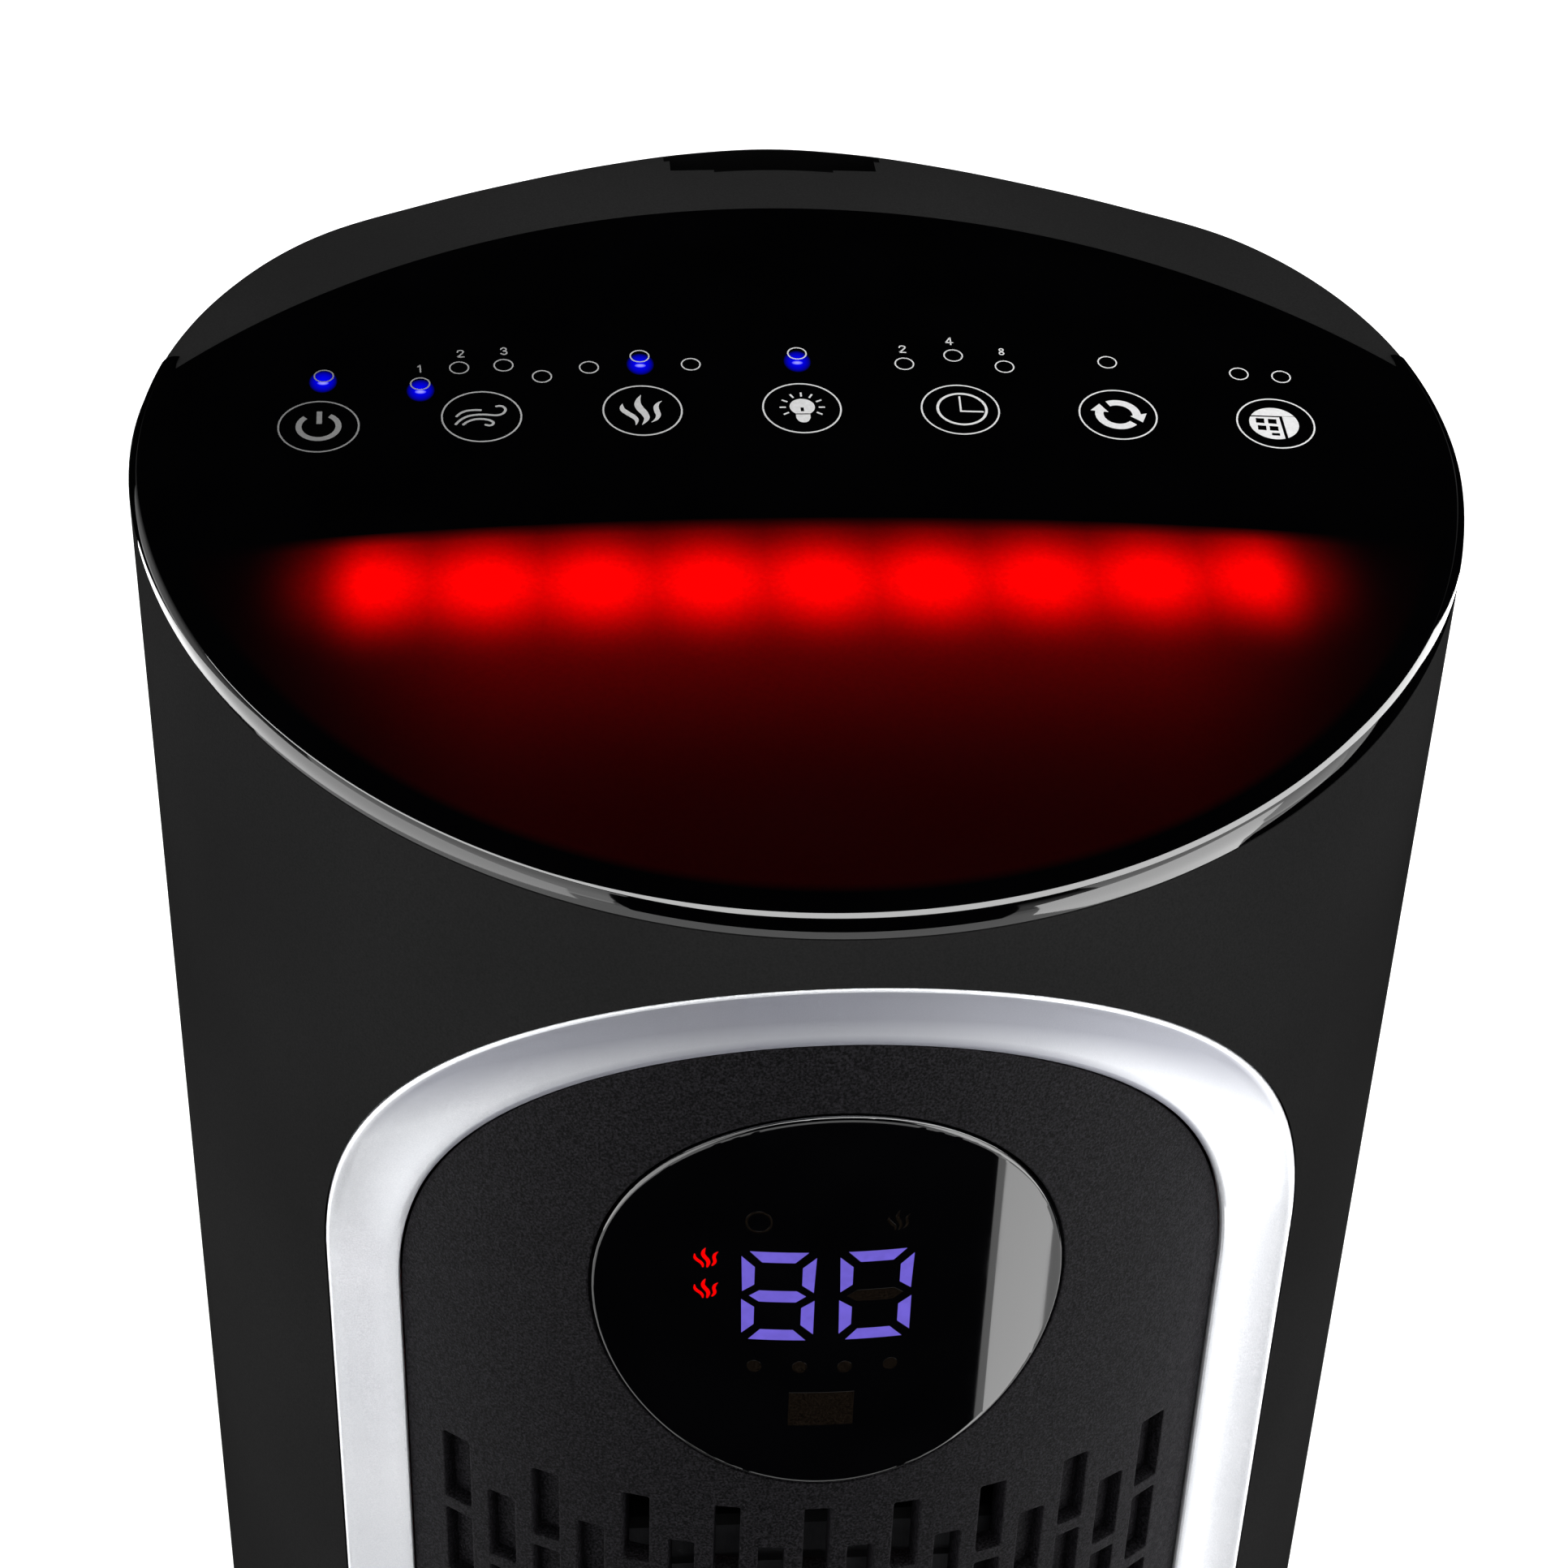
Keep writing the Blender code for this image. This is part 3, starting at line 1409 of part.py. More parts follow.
def make_filter(finish):
    """The frame that holds the filter, the filter itself and its mesh."""
    inner = shell_inner_radius - clearance * 2
    flange_front = filter_frame_front
    flange_rear = filter_front - clearance
    flange_half = math.sqrt(inner**2 - flange_rear**2)
    low = filter_bottom - partition_margin
    high = filter_top + partition_margin
    frame = make_object(
        "filter_frame",
        box((-flange_half, flange_front, low), (flange_half, flange_rear, high)),
        finish["inner"],
    )
    rear = filter_rear + clearance
    join(
        frame,
        box(
            (-filter_outer_half, flange_front + clearance, filter_bottom - clearance - filter_frame_wall),
            (filter_outer_half, rear, filter_top + clearance + filter_frame_wall),
        ),
    )
    gap = clearance
    cut(
        frame,
        box(
            (-filter_half_width - gap, flange_rear, filter_bottom - gap),
            (filter_half_width + gap, rear + overrun, filter_top + gap),
        ),
    )
    cut(
        frame,
        box(
            (-filter_half_width + filter_lip, flange_front - overrun, filter_bottom + filter_lip),
            (filter_half_width - filter_lip, rear, filter_top - filter_lip),
        ),
    )
    hepa_rear = filter_rear - prefilter_depth - clearance
    block = box(
        (-filter_half_width, filter_front, filter_bottom), (filter_half_width, hepa_rear, filter_top)
    )
    sheet = box(
        (-filter_half_width, hepa_rear + clearance, filter_bottom),
        (filter_half_width, filter_rear, filter_top),
    )
    hepa = make_object("hepa_filter", block, finish["filter"])
    return frame, hepa, make_object("pre_filter", sheet, finish["mesh"])


def make_door(finish):
    """The rear door over the filter, with air slots, and the latch at its top."""
    inner = shell_inner_radius
    directions = [rear_point(a, 1) for a in spread(-door_half_angle, door_half_angle, door_columns)]
    door = make_object(
        "filter_door",
        curved_wall(directions, inner, body_radius, door_bottom, door_top),
        finish["shell"],
    )
    step = 2 * door_half_angle / door_columns
    cutters = []
    for column in range(1, door_columns - 1):
        turn = Matrix.Rotation(door_half_angle - (2 * column + 1) * step / 2, 4, "Z")
        for row in range(door_slot_rows):
            low = door_slot_first + row * door_slot_row_pitch
            slot = box(
                (-door_slot_width / 2, inner - overrun, low),
                (door_slot_width / 2, body_radius + overrun, low + door_slot_height),
            )
            cutters.append(moved(slot, turn))
    cut(door, merged(*cutters))
    for side in (-1, 1):
        join(door, door_hook(side, 0, door_bottom - door_tab_height, door_bottom + door_tab_height))
        join(door, door_hook(side, shell_wall, door_bottom + clearance, door_bottom + door_tab_height))
    window_half = latch_width / 2
    window_low = door_top - latch_height - latch_travel - clearance
    window = box(
        (-window_half, inner - overrun, window_low),
        (window_half, body_radius + overrun, door_top + overrun),
    )
    cut(door, window)

    latch_low = door_top - latch_height
    latch_half = window_half - clearance
    latch_rear = math.sqrt(body_radius**2 - latch_half**2)
    latch = make_object(
        "door_latch",
        box((-latch_half, latch_rear - latch_thickness, latch_low), (latch_half, latch_rear, door_top)),
        finish["shell"],
    )
    tongue_top = door_top + door_top_gap + latch_tongue_height - clearance * 2
    tongue = box(
        (-latch_tongue_width / 2, inner - clearance, door_top - clearance),
        (latch_tongue_width / 2, inner - clearance + latch_tongue_thickness, tongue_top),
    )
    join(latch, tongue)
    return door, latch


def door_hook(side, reach, low, high):
    """A tab on the inside of the door's foot. It reaches down behind the shell's sill."""
    middle = side * door_tab_place
    half = door_tab_width / 2
    radius = shell_inner_radius - clearance
    outer_y = math.sqrt(radius**2 - (door_tab_place + half) ** 2)
    return box((middle - half, outer_y - door_tab_thickness, low), (middle + half, outer_y + reach, high))


def make_power_board(finish):
    """The mains board that stands on the turntable behind the motor."""
    bottom = turntable_top + clearance
    rear = power_board_rear
    board = make_object(
        "power_board",
        box(
            (-power_board_half_width, rear - board_thickness, bottom),
            (power_board_half_width, rear, bottom + power_board_height),
        ),
        finish["board"],
    )
    middle = bottom + power_board_height / 2
    left = -power_board_half_width / 2
    join(
        board,
        box(
            (left - transformer_width / 2, rear - clearance, middle - transformer_height / 2),
            (left + transformer_width / 2, rear + transformer_depth, middle + transformer_height / 2),
        ),
    )
    for i in (1, 2):
        place = (i * capacitor_pitch, rear - clearance, middle)
        join(board, along_y(rod(capacitor_radius, 0, capacitor_depth, steps=16), place))
    return board


def axis_empty(name, place, parent=None):
    empty = bpy.data.objects.new(name, None)
    bpy.context.scene.collection.objects.link(empty)
    empty.location = Vector(place) - (parent["place"] if parent else Vector())
    empty.parent = parent["empty"] if parent else None
    return {"empty": empty, "place": Vector(place)}


def hang(axis, *pieces):
    """Parents pieces to a joint's empty without moving them."""
    for piece in pieces:
        piece.parent = axis["empty"]
        piece.matrix_parent_inverse = Matrix.Translation(-axis["place"])


def clear_scene():
    for obj in list(bpy.data.objects):
        bpy.data.objects.remove(obj, do_unlink=True)


def main():
    clear_scene()
    finish = make_materials()
    make_base(finish)
    switch, plunger = make_tip_switch(finish)
    motor, pinion, gear, gear_screws = make_drive(finish)
    bearing, turntable = make_turntable(finish)
    tower = axis_empty("tower_axis", (0, 0, base_height))
    hang(axis_empty("pinion_axis", (pinion_place, 0, pinion_bottom)), pinion)
    hang(axis_empty("plunger_axis", (tip_switch_place, 0, 0)), plunger)

    front, rear = make_shells(finish)
    lens, display = make_display(finish)
    touch, lights = make_lid_boards(finish)
    housing, wheel, shaft, fan_motor, damper, bush = make_blower(finish)
    door, latch = make_door(finish)
    hang(tower, turntable, gear, *gear_screws, front, rear, lens, display, touch, lights)
    hang(tower, make_bezel(finish), make_grille(finish), make_lid(finish), make_top_cover(finish))
    hang(tower, housing, fan_motor, damper, bush, make_power_board(finish))
    hang(tower, *make_heater(finish), *make_filter(finish))
    hang(axis_empty("wheel_axis", (0, wheel_place, wheel_bottom), tower), wheel, shaft)
    hinge = axis_empty("door_hinge_axis", (0, door_hinge_place, door_bottom), tower)
    hang(hinge, door)
    hang(axis_empty("latch_axis", (0, door_hinge_place, door_top), hinge), latch)


main()
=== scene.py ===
import json
from math import asin, atan2, cos, hypot, pi, radians, sin, sqrt, tan, tau

import bmesh
import bpy
from mathutils import Matrix, Vector
from mathutils.geometry import delaunay_2d_cdt


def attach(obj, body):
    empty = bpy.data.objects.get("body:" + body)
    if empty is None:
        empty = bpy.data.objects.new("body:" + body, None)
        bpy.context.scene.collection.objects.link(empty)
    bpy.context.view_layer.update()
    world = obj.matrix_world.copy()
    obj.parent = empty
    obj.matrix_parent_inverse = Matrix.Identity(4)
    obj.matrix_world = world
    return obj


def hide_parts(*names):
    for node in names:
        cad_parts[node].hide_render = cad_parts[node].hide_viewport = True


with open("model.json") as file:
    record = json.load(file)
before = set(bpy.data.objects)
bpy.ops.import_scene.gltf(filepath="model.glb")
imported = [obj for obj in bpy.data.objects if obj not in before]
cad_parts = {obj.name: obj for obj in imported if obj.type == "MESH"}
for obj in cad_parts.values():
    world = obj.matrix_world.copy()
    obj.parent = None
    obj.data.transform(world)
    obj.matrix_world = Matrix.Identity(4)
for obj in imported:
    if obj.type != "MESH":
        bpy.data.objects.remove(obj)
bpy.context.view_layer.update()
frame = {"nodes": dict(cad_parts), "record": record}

# Lengths are in metres. The sizes of the frame's nodes are repeated here by name.
total_height = 0.740
body_radius = 0.125
shell_wall = 0.0025
shell_edge = 0.0004
tower_bottom = 0.043
seam_angle = radians(83.5)
shell_top = 0.694
gap = 0.0003
shell_columns = 120

# Touch lid and the deck behind it
lid_tilt = radians(14.94)
tilt = tan(lid_tilt)
lid_thickness = 0.0044
lid_drop = lid_thickness / cos(lid_tilt)
edge_round = 0.0035
lid_face_inset = 0.0006
lid_face_rear_inset = 0.0003
lid_rear_round = 0.0002
lid_rear_round_share = 0.2
lid_rear_reach = 0.0607
lid_corner_reach = 0.0006
lid_arc_rise = lid_rear_reach - lid_corner_reach
lid_rear_arc_radius = (lid_arc_rise**2 + body_radius**2) / (2 * lid_arc_rise)
lid_arc_centre = lid_rear_reach - lid_rear_arc_radius
deck_rise = 0.004
lid_axis_height = total_height - deck_rise - lid_rear_reach * tilt
deck_dip = 0.0026
deck_dip_turn = radians(40)
ridge_search_steps = 40

# The sloping top's rim: its radius as shares of the tower's, by even steps from where it leaves the side
rim_start_angle = radians(72)
rim_shares = (1.0, 0.9962, 0.9738, 0.9346, 0.8831, 0.8102, 0.7554, 0.7260, 0.7158, 0.7160)
rim_step = (pi - rim_start_angle) / (len(rim_shares) - 1)
shoulder_slope = 1.0
shoulder_margin = 0.001
shoulder_top_drop = lid_drop + gap + shoulder_margin
shoulder_offset_share = hypot(1, shoulder_slope) - shoulder_slope

# The remote control's pocket
pocket_width = 0.043
pocket_depth = 0.0093
pocket_lip = 0.0005
pocket_wall = 0.002
pocket_floor = 0.6575

# Window, bezel, panel and lens
window_half_width = 0.0907
window_top = 0.6724
window_bottom = 0.085
window_rise = 0.084
panel_half_width = 0.0774
panel_top = 0.6541
panel_bottom = 0.1033
panel_rise = 0.0745
panel_radius = 0.116
panel_front_radius = 0.115
panel_thickness = 0.0045
panel_edge = 0.0003
bezel_depth = 0.005
bezel_dish = 0.0005
lens_radius = 0.0425
lens_height = 0.5967
lens_thickness = 0.003
lens_edge = 0.0008
lens_face_radius = 0.1154
slot_pitch = 0.00840
slot_width = 0.0049
slot_height = 0.017
slot_row_pitch = 0.020
slot_first_top = 0.5475
slot_shift = -0.0006
slot_last_bottom = 0.150
slot_columns_each_side = 8
open_columns_each_side = 4
blind_slot_depth = 0.0032
slot_corner = 0.0005

# Marks on the lid, placed by millimetres across it and up its slope
mark_unit = 0.001
ink_height = 0.00003
mark_origin_y = -0.029846
ring_row_radius = 802.24
ring_row_centre = -773.7
ring_row_step = radians(2.143)
ring_radius = 7.35
ring_line = 0.32
dot_radius = 1.77
dot_line = 0.26
figure_line = 0.27
dot_places = (
    (-89.54, 38.51), (-71.51, 36.14), (-64.29, 41.00), (-55.93, 41.75), (-48.68, 38.29),
    (-39.76, 41.06), (-30.04, 44.49), (-20.35, 41.97), (0.23, 45.32), (20.72, 42.03),
    (30.45, 44.60), (40.05, 41.07), (60.27, 42.40), (85.50, 38.72), (93.62, 37.76),
)
lamp_places = ((-89.6, 36.8), (-71.4, 34.1), (-30.0, 42.0), (0.1, 42.8))
number_places = (
    ("1", -71.7, 40.7), ("2", -64.1, 45.3), ("3", -55.9, 46.1),
    ("2", 20.75, 46.6), ("4", 30.2, 49.1), ("8", 40.0, 45.8),
)

# Glow of the red row and of the small blue lamps, in metres and as shares
glow_row = -0.0493
glow_pitch = 0.019625
glow_half_row = 0.0785
glow_spread = 0.0050
glow_end_spread = 0.0058
glow_depth = 0.0065
glow_lamp_share = 0.64
glow_row_share = 0.58
glow_wide_half = 0.052
glow_wide_spread = 0.017
glow_wide_depth = 0.019
glow_wide_share = 0.11
glow_faint_depth = 0.09
glow_faint_share = 0.011
glow_edge = -0.0334
glow_edge_bend = 0.6
glow_edge_soft = 0.0025
glow_edge_sharp = glow_edge_soft / 3
glow_rim = (0.1185, 0.1205)
lamp_glow_size = (0.0019, 0.0024)
lamp_glow_level = 0.9
lamp_glow_reach = 1.9
lamp_core_size = (0.0011, 0.0006)
lamp_core_drop = 0.0004
lamp_core_white = 0.35

# Marks on the lens, in millimetres from its centre
figure_places = (-9.68, 7.6)
figure_height = 2.85
flame_places = ((-22.55, 10.55), (-22.45, 3.55))
dim_dot_places = ((-13.45, -13.55), (-5.3, -13.6), (2.8, -13.7), (11.05, -13.65))
dim_dot_radius = 1.35
sensor_box = (5.9, 3.95)
sensor_place = (-1.1, -23.65)

# Door and latch
door_half_angle = radians(47.6)
door_bottom = 0.122
door_top = 0.602
door_top_gap = 0.0012
door_columns = 14
door_slot_width = 0.0055
door_slot_height = 0.068
door_slot_corner = 0.45 * door_slot_width
door_slot_rows = 5
door_slot_first = 0.152
door_slot_row_pitch = 0.077
hook_place = 0.020
hook_half_width = 0.006
hook_reach = 0.005
hook_thickness = 0.002
hook_corner = 0.0006
latch_width = 0.026
latch_height = 0.016
latch_thickness = 0.0034
latch_travel = 0.004
latch_edge = 0.0006
latch_ribs = 4
latch_rib_first = 0.0034
latch_rib_pitch = 0.0026
latch_rib_height = 0.0018
latch_rib_depth = 0.0007
notch_half_width = 0.0063
notch_rise = 0.003
tongue_half_width = 0.006
tongue_thickness = 0.0012
tongue_corner = 0.0008

# Base
base_radius = 0.135
base_height = 0.040
base_round = 0.012
base_wall = 0.003
base_lip_height = 0.0045
# The step at the base's foot: how far in from its side, and how far above its lip
base_foot_steps = ((base_wall, 0.0), (0.0012, 0.0), (0.0004, 0.0004), (0.0004, 0.0012), (0.0, 0.0018))
base_hole_radius = 0.0345
base_hole_edge = 0.0006
cord_hole_radius = 0.0063
cord_hole_height = 0.020
cord_hole_reach = (0.121, 0.150)

# Steps of the round surfaces, and limits of the cuts
window_steps = 90
panel_steps = 60
lens_steps = 144
lid_front_steps = 180
lid_rear_steps = 90
lid_round_steps = 10
turned_steps = 200
ring_steps = 64
edge_margin = 1.6
least_corner_share = 0.5
wrap_step = 0.002
fine_wrap_step = 0.0011
smooth_angle = radians(32)
bevel_angle = radians(40)
weld = 0.000001
cut_margin = 0.01


# Shapes


def spread(first, last, count):
    return [first + (last - first) * i / count for i in range(count + 1)]


def around(loop):
    """Each item of a closed loop with the next one."""
    return zip(loop, loop[1:] + loop[:1])


def polar(radius, angle, centre=(0.0, 0.0)):
    return centre[0] + radius * cos(angle), centre[1] + radius * sin(angle)


def skin(shape, rows):
    """Faces between rows of vertices that each go all the way round."""
    for a, b in zip(rows, rows[1:]):
        for (here, there), (below, beyond) in zip(around(a), around(b)):
            shape.faces.new((here, there, beyond, below))
    return shape


def loft(loops, closed=False):
    """Skin over a row of loops that have the same number of points, with a cap on each end."""
    shape = bmesh.new()
    rows = [[shape.verts.new(point) for point in loop] for loop in loops]
    skin(shape, rows + rows[:1] if closed else rows)
    if not closed:
        shape.faces.new(rows[0][::-1])
        shape.faces.new(rows[-1])
    return shape


def prism(loop, axis, ends):
    """A loop of 2D points drawn out along the axis of that number, from one end to the other."""
    return loft([[(*point[:axis], end, *point[axis:]) for point in loop] for end in ends])


def turned(outline):
    """A closed outline of radius and height, turned about the tower's axis."""
    turns = [tau * i / turned_steps for i in range(turned_steps)]
    return loft([[(*polar(r, turn), z) for r, z in outline] for turn in turns], closed=True)


def wall(loops):
    """Strips between loops of (points, depth)."""
    shape = bmesh.new()
    return skin(shape, [[shape.verts.new((x, depth, z)) for x, z in loop] for loop, depth in loops])


def merged(*shapes):
    whole = bmesh.new()
    for shape in shapes:
        mesh = new_mesh("part", shape)
        whole.from_mesh(mesh)
        bpy.data.meshes.remove(mesh)
    return whole


def welded(*shapes):
    shape = merged(*shapes)
    bmesh.ops.remove_doubles(shape, verts=shape.verts, dist=weld)
    return shape


def split_caps(shape):
    """Triangles in place of the faces with more than four corners."""
    bmesh.ops.triangulate(shape, faces=[face for face in shape.faces if len(face.verts) > 4])
    return shape


def mirrored(right):
    """A closed outline from its right half."""
    return right + [(-x, z) for x, z in right[::-1]]


def grown(loop, distance):
    """A loop of 2D points moved outward by distance, or inward where that is negative."""
    side = 1 if sum(a[0] * b[1] - b[0] * a[1] for a, b in around(loop)) > 0 else -1
    result = []
    for before, here, after in zip(loop[-1:] + loop[:-1], loop, loop[1:] + loop[:1]):
        into = (Vector(here) - Vector(before)).normalized()
        out = (Vector(after) - Vector(here)).normalized()
        normal = Vector((into.y + out.y, -into.x - out.x)).normalized() * side
        reach = max(least_corner_share, normal.dot(Vector((into.y, -into.x)) * side))
        result.append((here[0] + normal.x * distance / reach, here[1] + normal.y * distance / reach))
    return result


def inside(point, loop):
    hit = False
    x, y = point
    for (ax, ay), (bx, by) in around(loop):
        if (ay > y) != (by > y) and x < (bx - ax) * (y - ay) / (by - ay) + ax:
            hit = not hit
    return hit


def filled(outline, holes, depth):
    """Triangles between an outline and its holes, all at one depth of the flat panel."""
    points, edges = [], []
    for loop in [outline] + holes:
        numbers = list(range(len(points), len(points) + len(loop)))
        points += [Vector(point) for point in loop]
        edges += around(numbers)
    found, _, faces, _, _, _ = delaunay_2d_cdt(points, edges, [], 1, weld / 10)
    boxes = [(*map(min, zip(*loop)), *map(max, zip(*loop)), loop) for loop in holes]
    shape = bmesh.new()
    verts = [shape.verts.new((point.x, depth, point.y)) for point in found]
    for face in faces:
        x = sum(found[i].x for i in face) / len(face)
        y = sum(found[i].y for i in face) / len(face)
        near = [loop for x0, y0, x1, y1, loop in boxes if x0 < x < x1 and y0 < y < y1]
        if inside((x, y), outline) and not any(inside((x, y), loop) for loop in near):
            shape.faces.new([verts[i] for i in face])
    return shape


def rounded_steps(loop, depth, edge, way, steps):
    """Loops that round an edge and end at a depth: way is -1 on an outline and 1 round a hole."""
    loops = [(grown(loop, way * edge * edge_margin), 0.0)]
    for turn in spread(0, pi / 2, steps):
        loops.append((grown(loop, way * edge * (1 - sin(turn))), edge * (1 - cos(turn))))
    return loops + [(loop, depth)]


def flat_panel(outline, thickness, edge, holes=(), pits=(), pit_depth=0.0, steps=3):
    """A flat panel of x, depth and z with round edges, holes that go through, and blind pits."""
    rims = [rounded_steps(outline, thickness, edge, -1, steps)]
    rims += [rounded_steps(loop, thickness, edge, 1, steps) for loop in holes]
    rims += [rounded_steps(loop, pit_depth, edge, 1, steps) for loop in pits]
    first, *openings = [rim[0][0] for rim in rims]
    faces = [filled(first, openings, 0.0), filled(outline, list(holes), thickness)]
    return welded(*[wall(rim) for rim in rims], *faces, *[filled(loop, [], pit_depth) for loop in pits])


def wrapped(shape, radius, step, rear=False):
    """Bends a flat panel round the tower: its width becomes the way round, its depth goes inward."""
    reach = max(abs(v.co.x) for v in shape.verts)
    for i in range(-int(reach / step), int(reach / step) + 1):
        parts = shape.verts[:] + shape.edges[:] + shape.faces[:]
        place, normal = (i * step, 0, 0), (1, 0, 0)
        bmesh.ops.bisect_plane(shape, geom=parts, dist=weld, plane_co=place, plane_no=normal)
    for vert in shape.verts:
        along, depth, height = vert.co
        bend = rear_point if rear else front_point
        vert.co = (*bend(along / radius, radius - depth), height)
    return shape


def unrolled(loop, radius):
    """Points of x and z on the round front, as distance round it and height."""
    return [(radius * asin(x / radius), z) for x, z in loop]


def arch(half_width, top, bottom, rise, steps):
    """A tall closed outline in x and z with an arch at each end, anticlockwise from the right."""
    turns = [(top - rise, turn) for turn in spread(0, pi, steps)]
    turns += [(bottom + rise, turn) for turn in spread(pi, tau, steps)]
    return [(half_width * cos(turn), middle + rise * sin(turn)) for middle, turn in turns]


def circle(radius, centre=(0.0, 0.0), steps=96):
    return [polar(radius, turn, centre) for turn in spread(0, tau, steps)[:-1]]


def round_box(x0, x1, z0, z1, corner, steps=3):
    """A rectangle with round corners, anticlockwise."""
    left, right, low, high = x0 + corner, x1 - corner, z0 + corner, z1 - corner
    loop = []
    for quarter, centre in enumerate(((right, high), (left, high), (left, low), (right, low))):
        for turn in spread(quarter * pi / 2, (quarter + 1) * pi / 2, steps):
            loop.append(polar(corner, turn, centre))
    return loop


def lid_plane(y):
    return lid_axis_height + y * tilt


def lid_arc_y(x, grow=0.0):
    """The lid's rear edge at x."""
    return lid_arc_centre + sqrt((lid_rear_arc_radius + grow) ** 2 - x * x)


def front_point(angle, radius):
    return radius * sin(angle), -radius * cos(angle)


def rear_point(angle, radius):
    return radius * sin(angle), radius * cos(angle)


def rim_radius(angle):
    """The sloping top's radius, angle from the front: a smooth curve through rim_shares."""
    last = len(rim_shares) - 1
    place = max(abs(angle) - rim_start_angle, 0) / rim_step
    step = min(int(place), last - 1)
    near = [rim_shares[last - abs(last - max(i, 0))] for i in range(step - 1, step + 3)]
    along = place - step
    share = near[1] + (near[2] - near[1]) * along**2 * (3 - 2 * along)
    share += (near[2] - near[0]) / 2 * along * (1 - along) ** 2
    share -= (near[3] - near[1]) / 2 * along**2 * (1 - along)
    return body_radius * share


def shoulder_foot(angle, top):
    """The height where the shoulder below the rim meets the tower's side."""
    return top - shoulder_top_drop - (body_radius - rim_radius(angle)) * shoulder_slope


# Objects


def new_mesh(name, shape):
    """A mesh made of a shape, which is used up."""
    mesh = bpy.data.meshes.new(name)
    shape.to_mesh(mesh)
    shape.free()
    return mesh


def new_object(name, data):
    obj = bpy.data.objects.new(name, data)
    bpy.context.scene.collection.objects.link(obj)
    return obj


def smooth(obj):
    """Shades the round faces smooth and keeps the corners sharp."""
    obj.data.shade_smooth()
    obj.data.set_sharp_from_angle(angle=smooth_angle)


def piece(name, shape, slot, body, node=None, finish=None):
    """A piece of the dressed part on its body, in place of a node where one is named."""
    bmesh.ops.recalc_face_normals(shape, faces=shape.faces)
    obj = new_object(name, new_mesh(name, shape))
    smooth(obj)
    obj.data.materials.append(finishes[finish or slot])
    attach(obj, body)
    if node:
        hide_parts(node)
    return obj


def settle(obj):
    """Puts an object's modifiers into its mesh."""
    graph = bpy.context.evaluated_depsgraph_get()
    mesh = bpy.data.meshes.new_from_object(obj.evaluated_get(graph), depsgraph=graph)
    obj.modifiers.clear()
    obj.data = mesh


def carve(obj, shape):
    """Cuts a shape from an object."""
    bmesh.ops.recalc_face_normals(shape, faces=shape.faces)
    mesh = new_mesh("cutter", shape)
    other = new_object("cutter", mesh)
    modifier = obj.modifiers.new("cut", "BOOLEAN")
    modifier.operation = "DIFFERENCE"
    modifier.solver = "EXACT"
    modifier.object = other
    settle(obj)
    bpy.data.objects.remove(other)
    bpy.data.meshes.remove(mesh)


def round_edges(obj):
    modifier = obj.modifiers.new("edges", "BEVEL")
    modifier.width = shell_edge
    modifier.segments = 2
    modifier.limit_method = "ANGLE"
    modifier.angle_limit = bevel_angle
    settle(obj)
    smooth(obj)


# Materials

finishes = {}


class Value:
    """What a node gives, to reckon with as with a plain number."""

    def __init__(self, nodes, output):
        self.nodes, self.output = nodes, output

    def __add__(self, other):
        return self.nodes.math("ADD", self, other)

    def __sub__(self, other):
        return self.nodes.math("SUBTRACT", self, other)

    def __rsub__(self, other):
        return self.nodes.math("SUBTRACT", other, self)

    def __mul__(self, other):
        return self.nodes.math("MULTIPLY", self, other)

    def __truediv__(self, other):
        return self.nodes.math("DIVIDE", self, other)


class Nodes:
    """A node tree and short ways to add nodes to it."""

    def __init__(self, owner):
        owner.use_nodes = True
        self.tree = owner.node_tree

    def fill(self, socket, value):
        """Links a node's value to a socket, or sets a plain one."""
        if isinstance(value, Value):
            self.tree.links.new(value.output, socket)
        else:
            socket.default_value = (*value, 1) if socket.type == "RGBA" else value

    def node(self, kind, inputs, output=0, **settings):
        """What a new node gives. Its inputs are named or numbered, and its settings follow."""
        made = self.tree.nodes.new("ShaderNode" + kind)
        for name, value in settings.items():
            setattr(made, name, value)
        for name, value in inputs.items():
            self.fill(made.inputs[name], value)
        return Value(self, made.outputs[output])

    def math(self, operation, a, b=0.0):
        return self.node("Math", {0: a, 1: b}, operation=operation)

    def distance(self, x, y):
        return self.math("SQRT", x * x + y * y)

    def place(self, output="Object"):
        return self.node("TexCoord", {}, output)

    def axes(self, output="Object"):
        """The x, y and z of a texture coordinate."""
        first = self.node("SeparateXYZ", {0: self.place(output)})
        return [Value(self, each) for each in first.output.node.outputs]

    def rays(self, *names):
        """1 for rays of the named kinds, and 0 for all others."""
        first, *others = [self.node("LightPath", {}, f"Is {name} Ray") for name in names]
        for other in others:
            first = self.math("MAXIMUM", first, other)
        return first

    def noise(self, size, detail=3.0, stretch=None, rough=0.5):
        """Noise with features of about that size in metres, stretched along the axes."""
        place = self.place()
        if stretch:
            place = self.node("Mapping", {"Scale": stretch, "Vector": place})
        inputs = {"Scale": 1 / size, "Detail": detail, "Roughness": rough, "Vector": place}
        return self.node("TexNoise", inputs)

    def ramp(self, source, low, high, start=0.0, end=1.0):
        """A value spread from low to high as the source goes from start to end."""
        inputs = {"Value": source, "From Min": start, "From Max": end, "To Min": low, "To Max": high}
        return self.node("MapRange", inputs)

    def mix(self, factor, a, b):
        return self.node("Mix", {0: factor, 6: a, 7: b}, 2, data_type="RGBA")


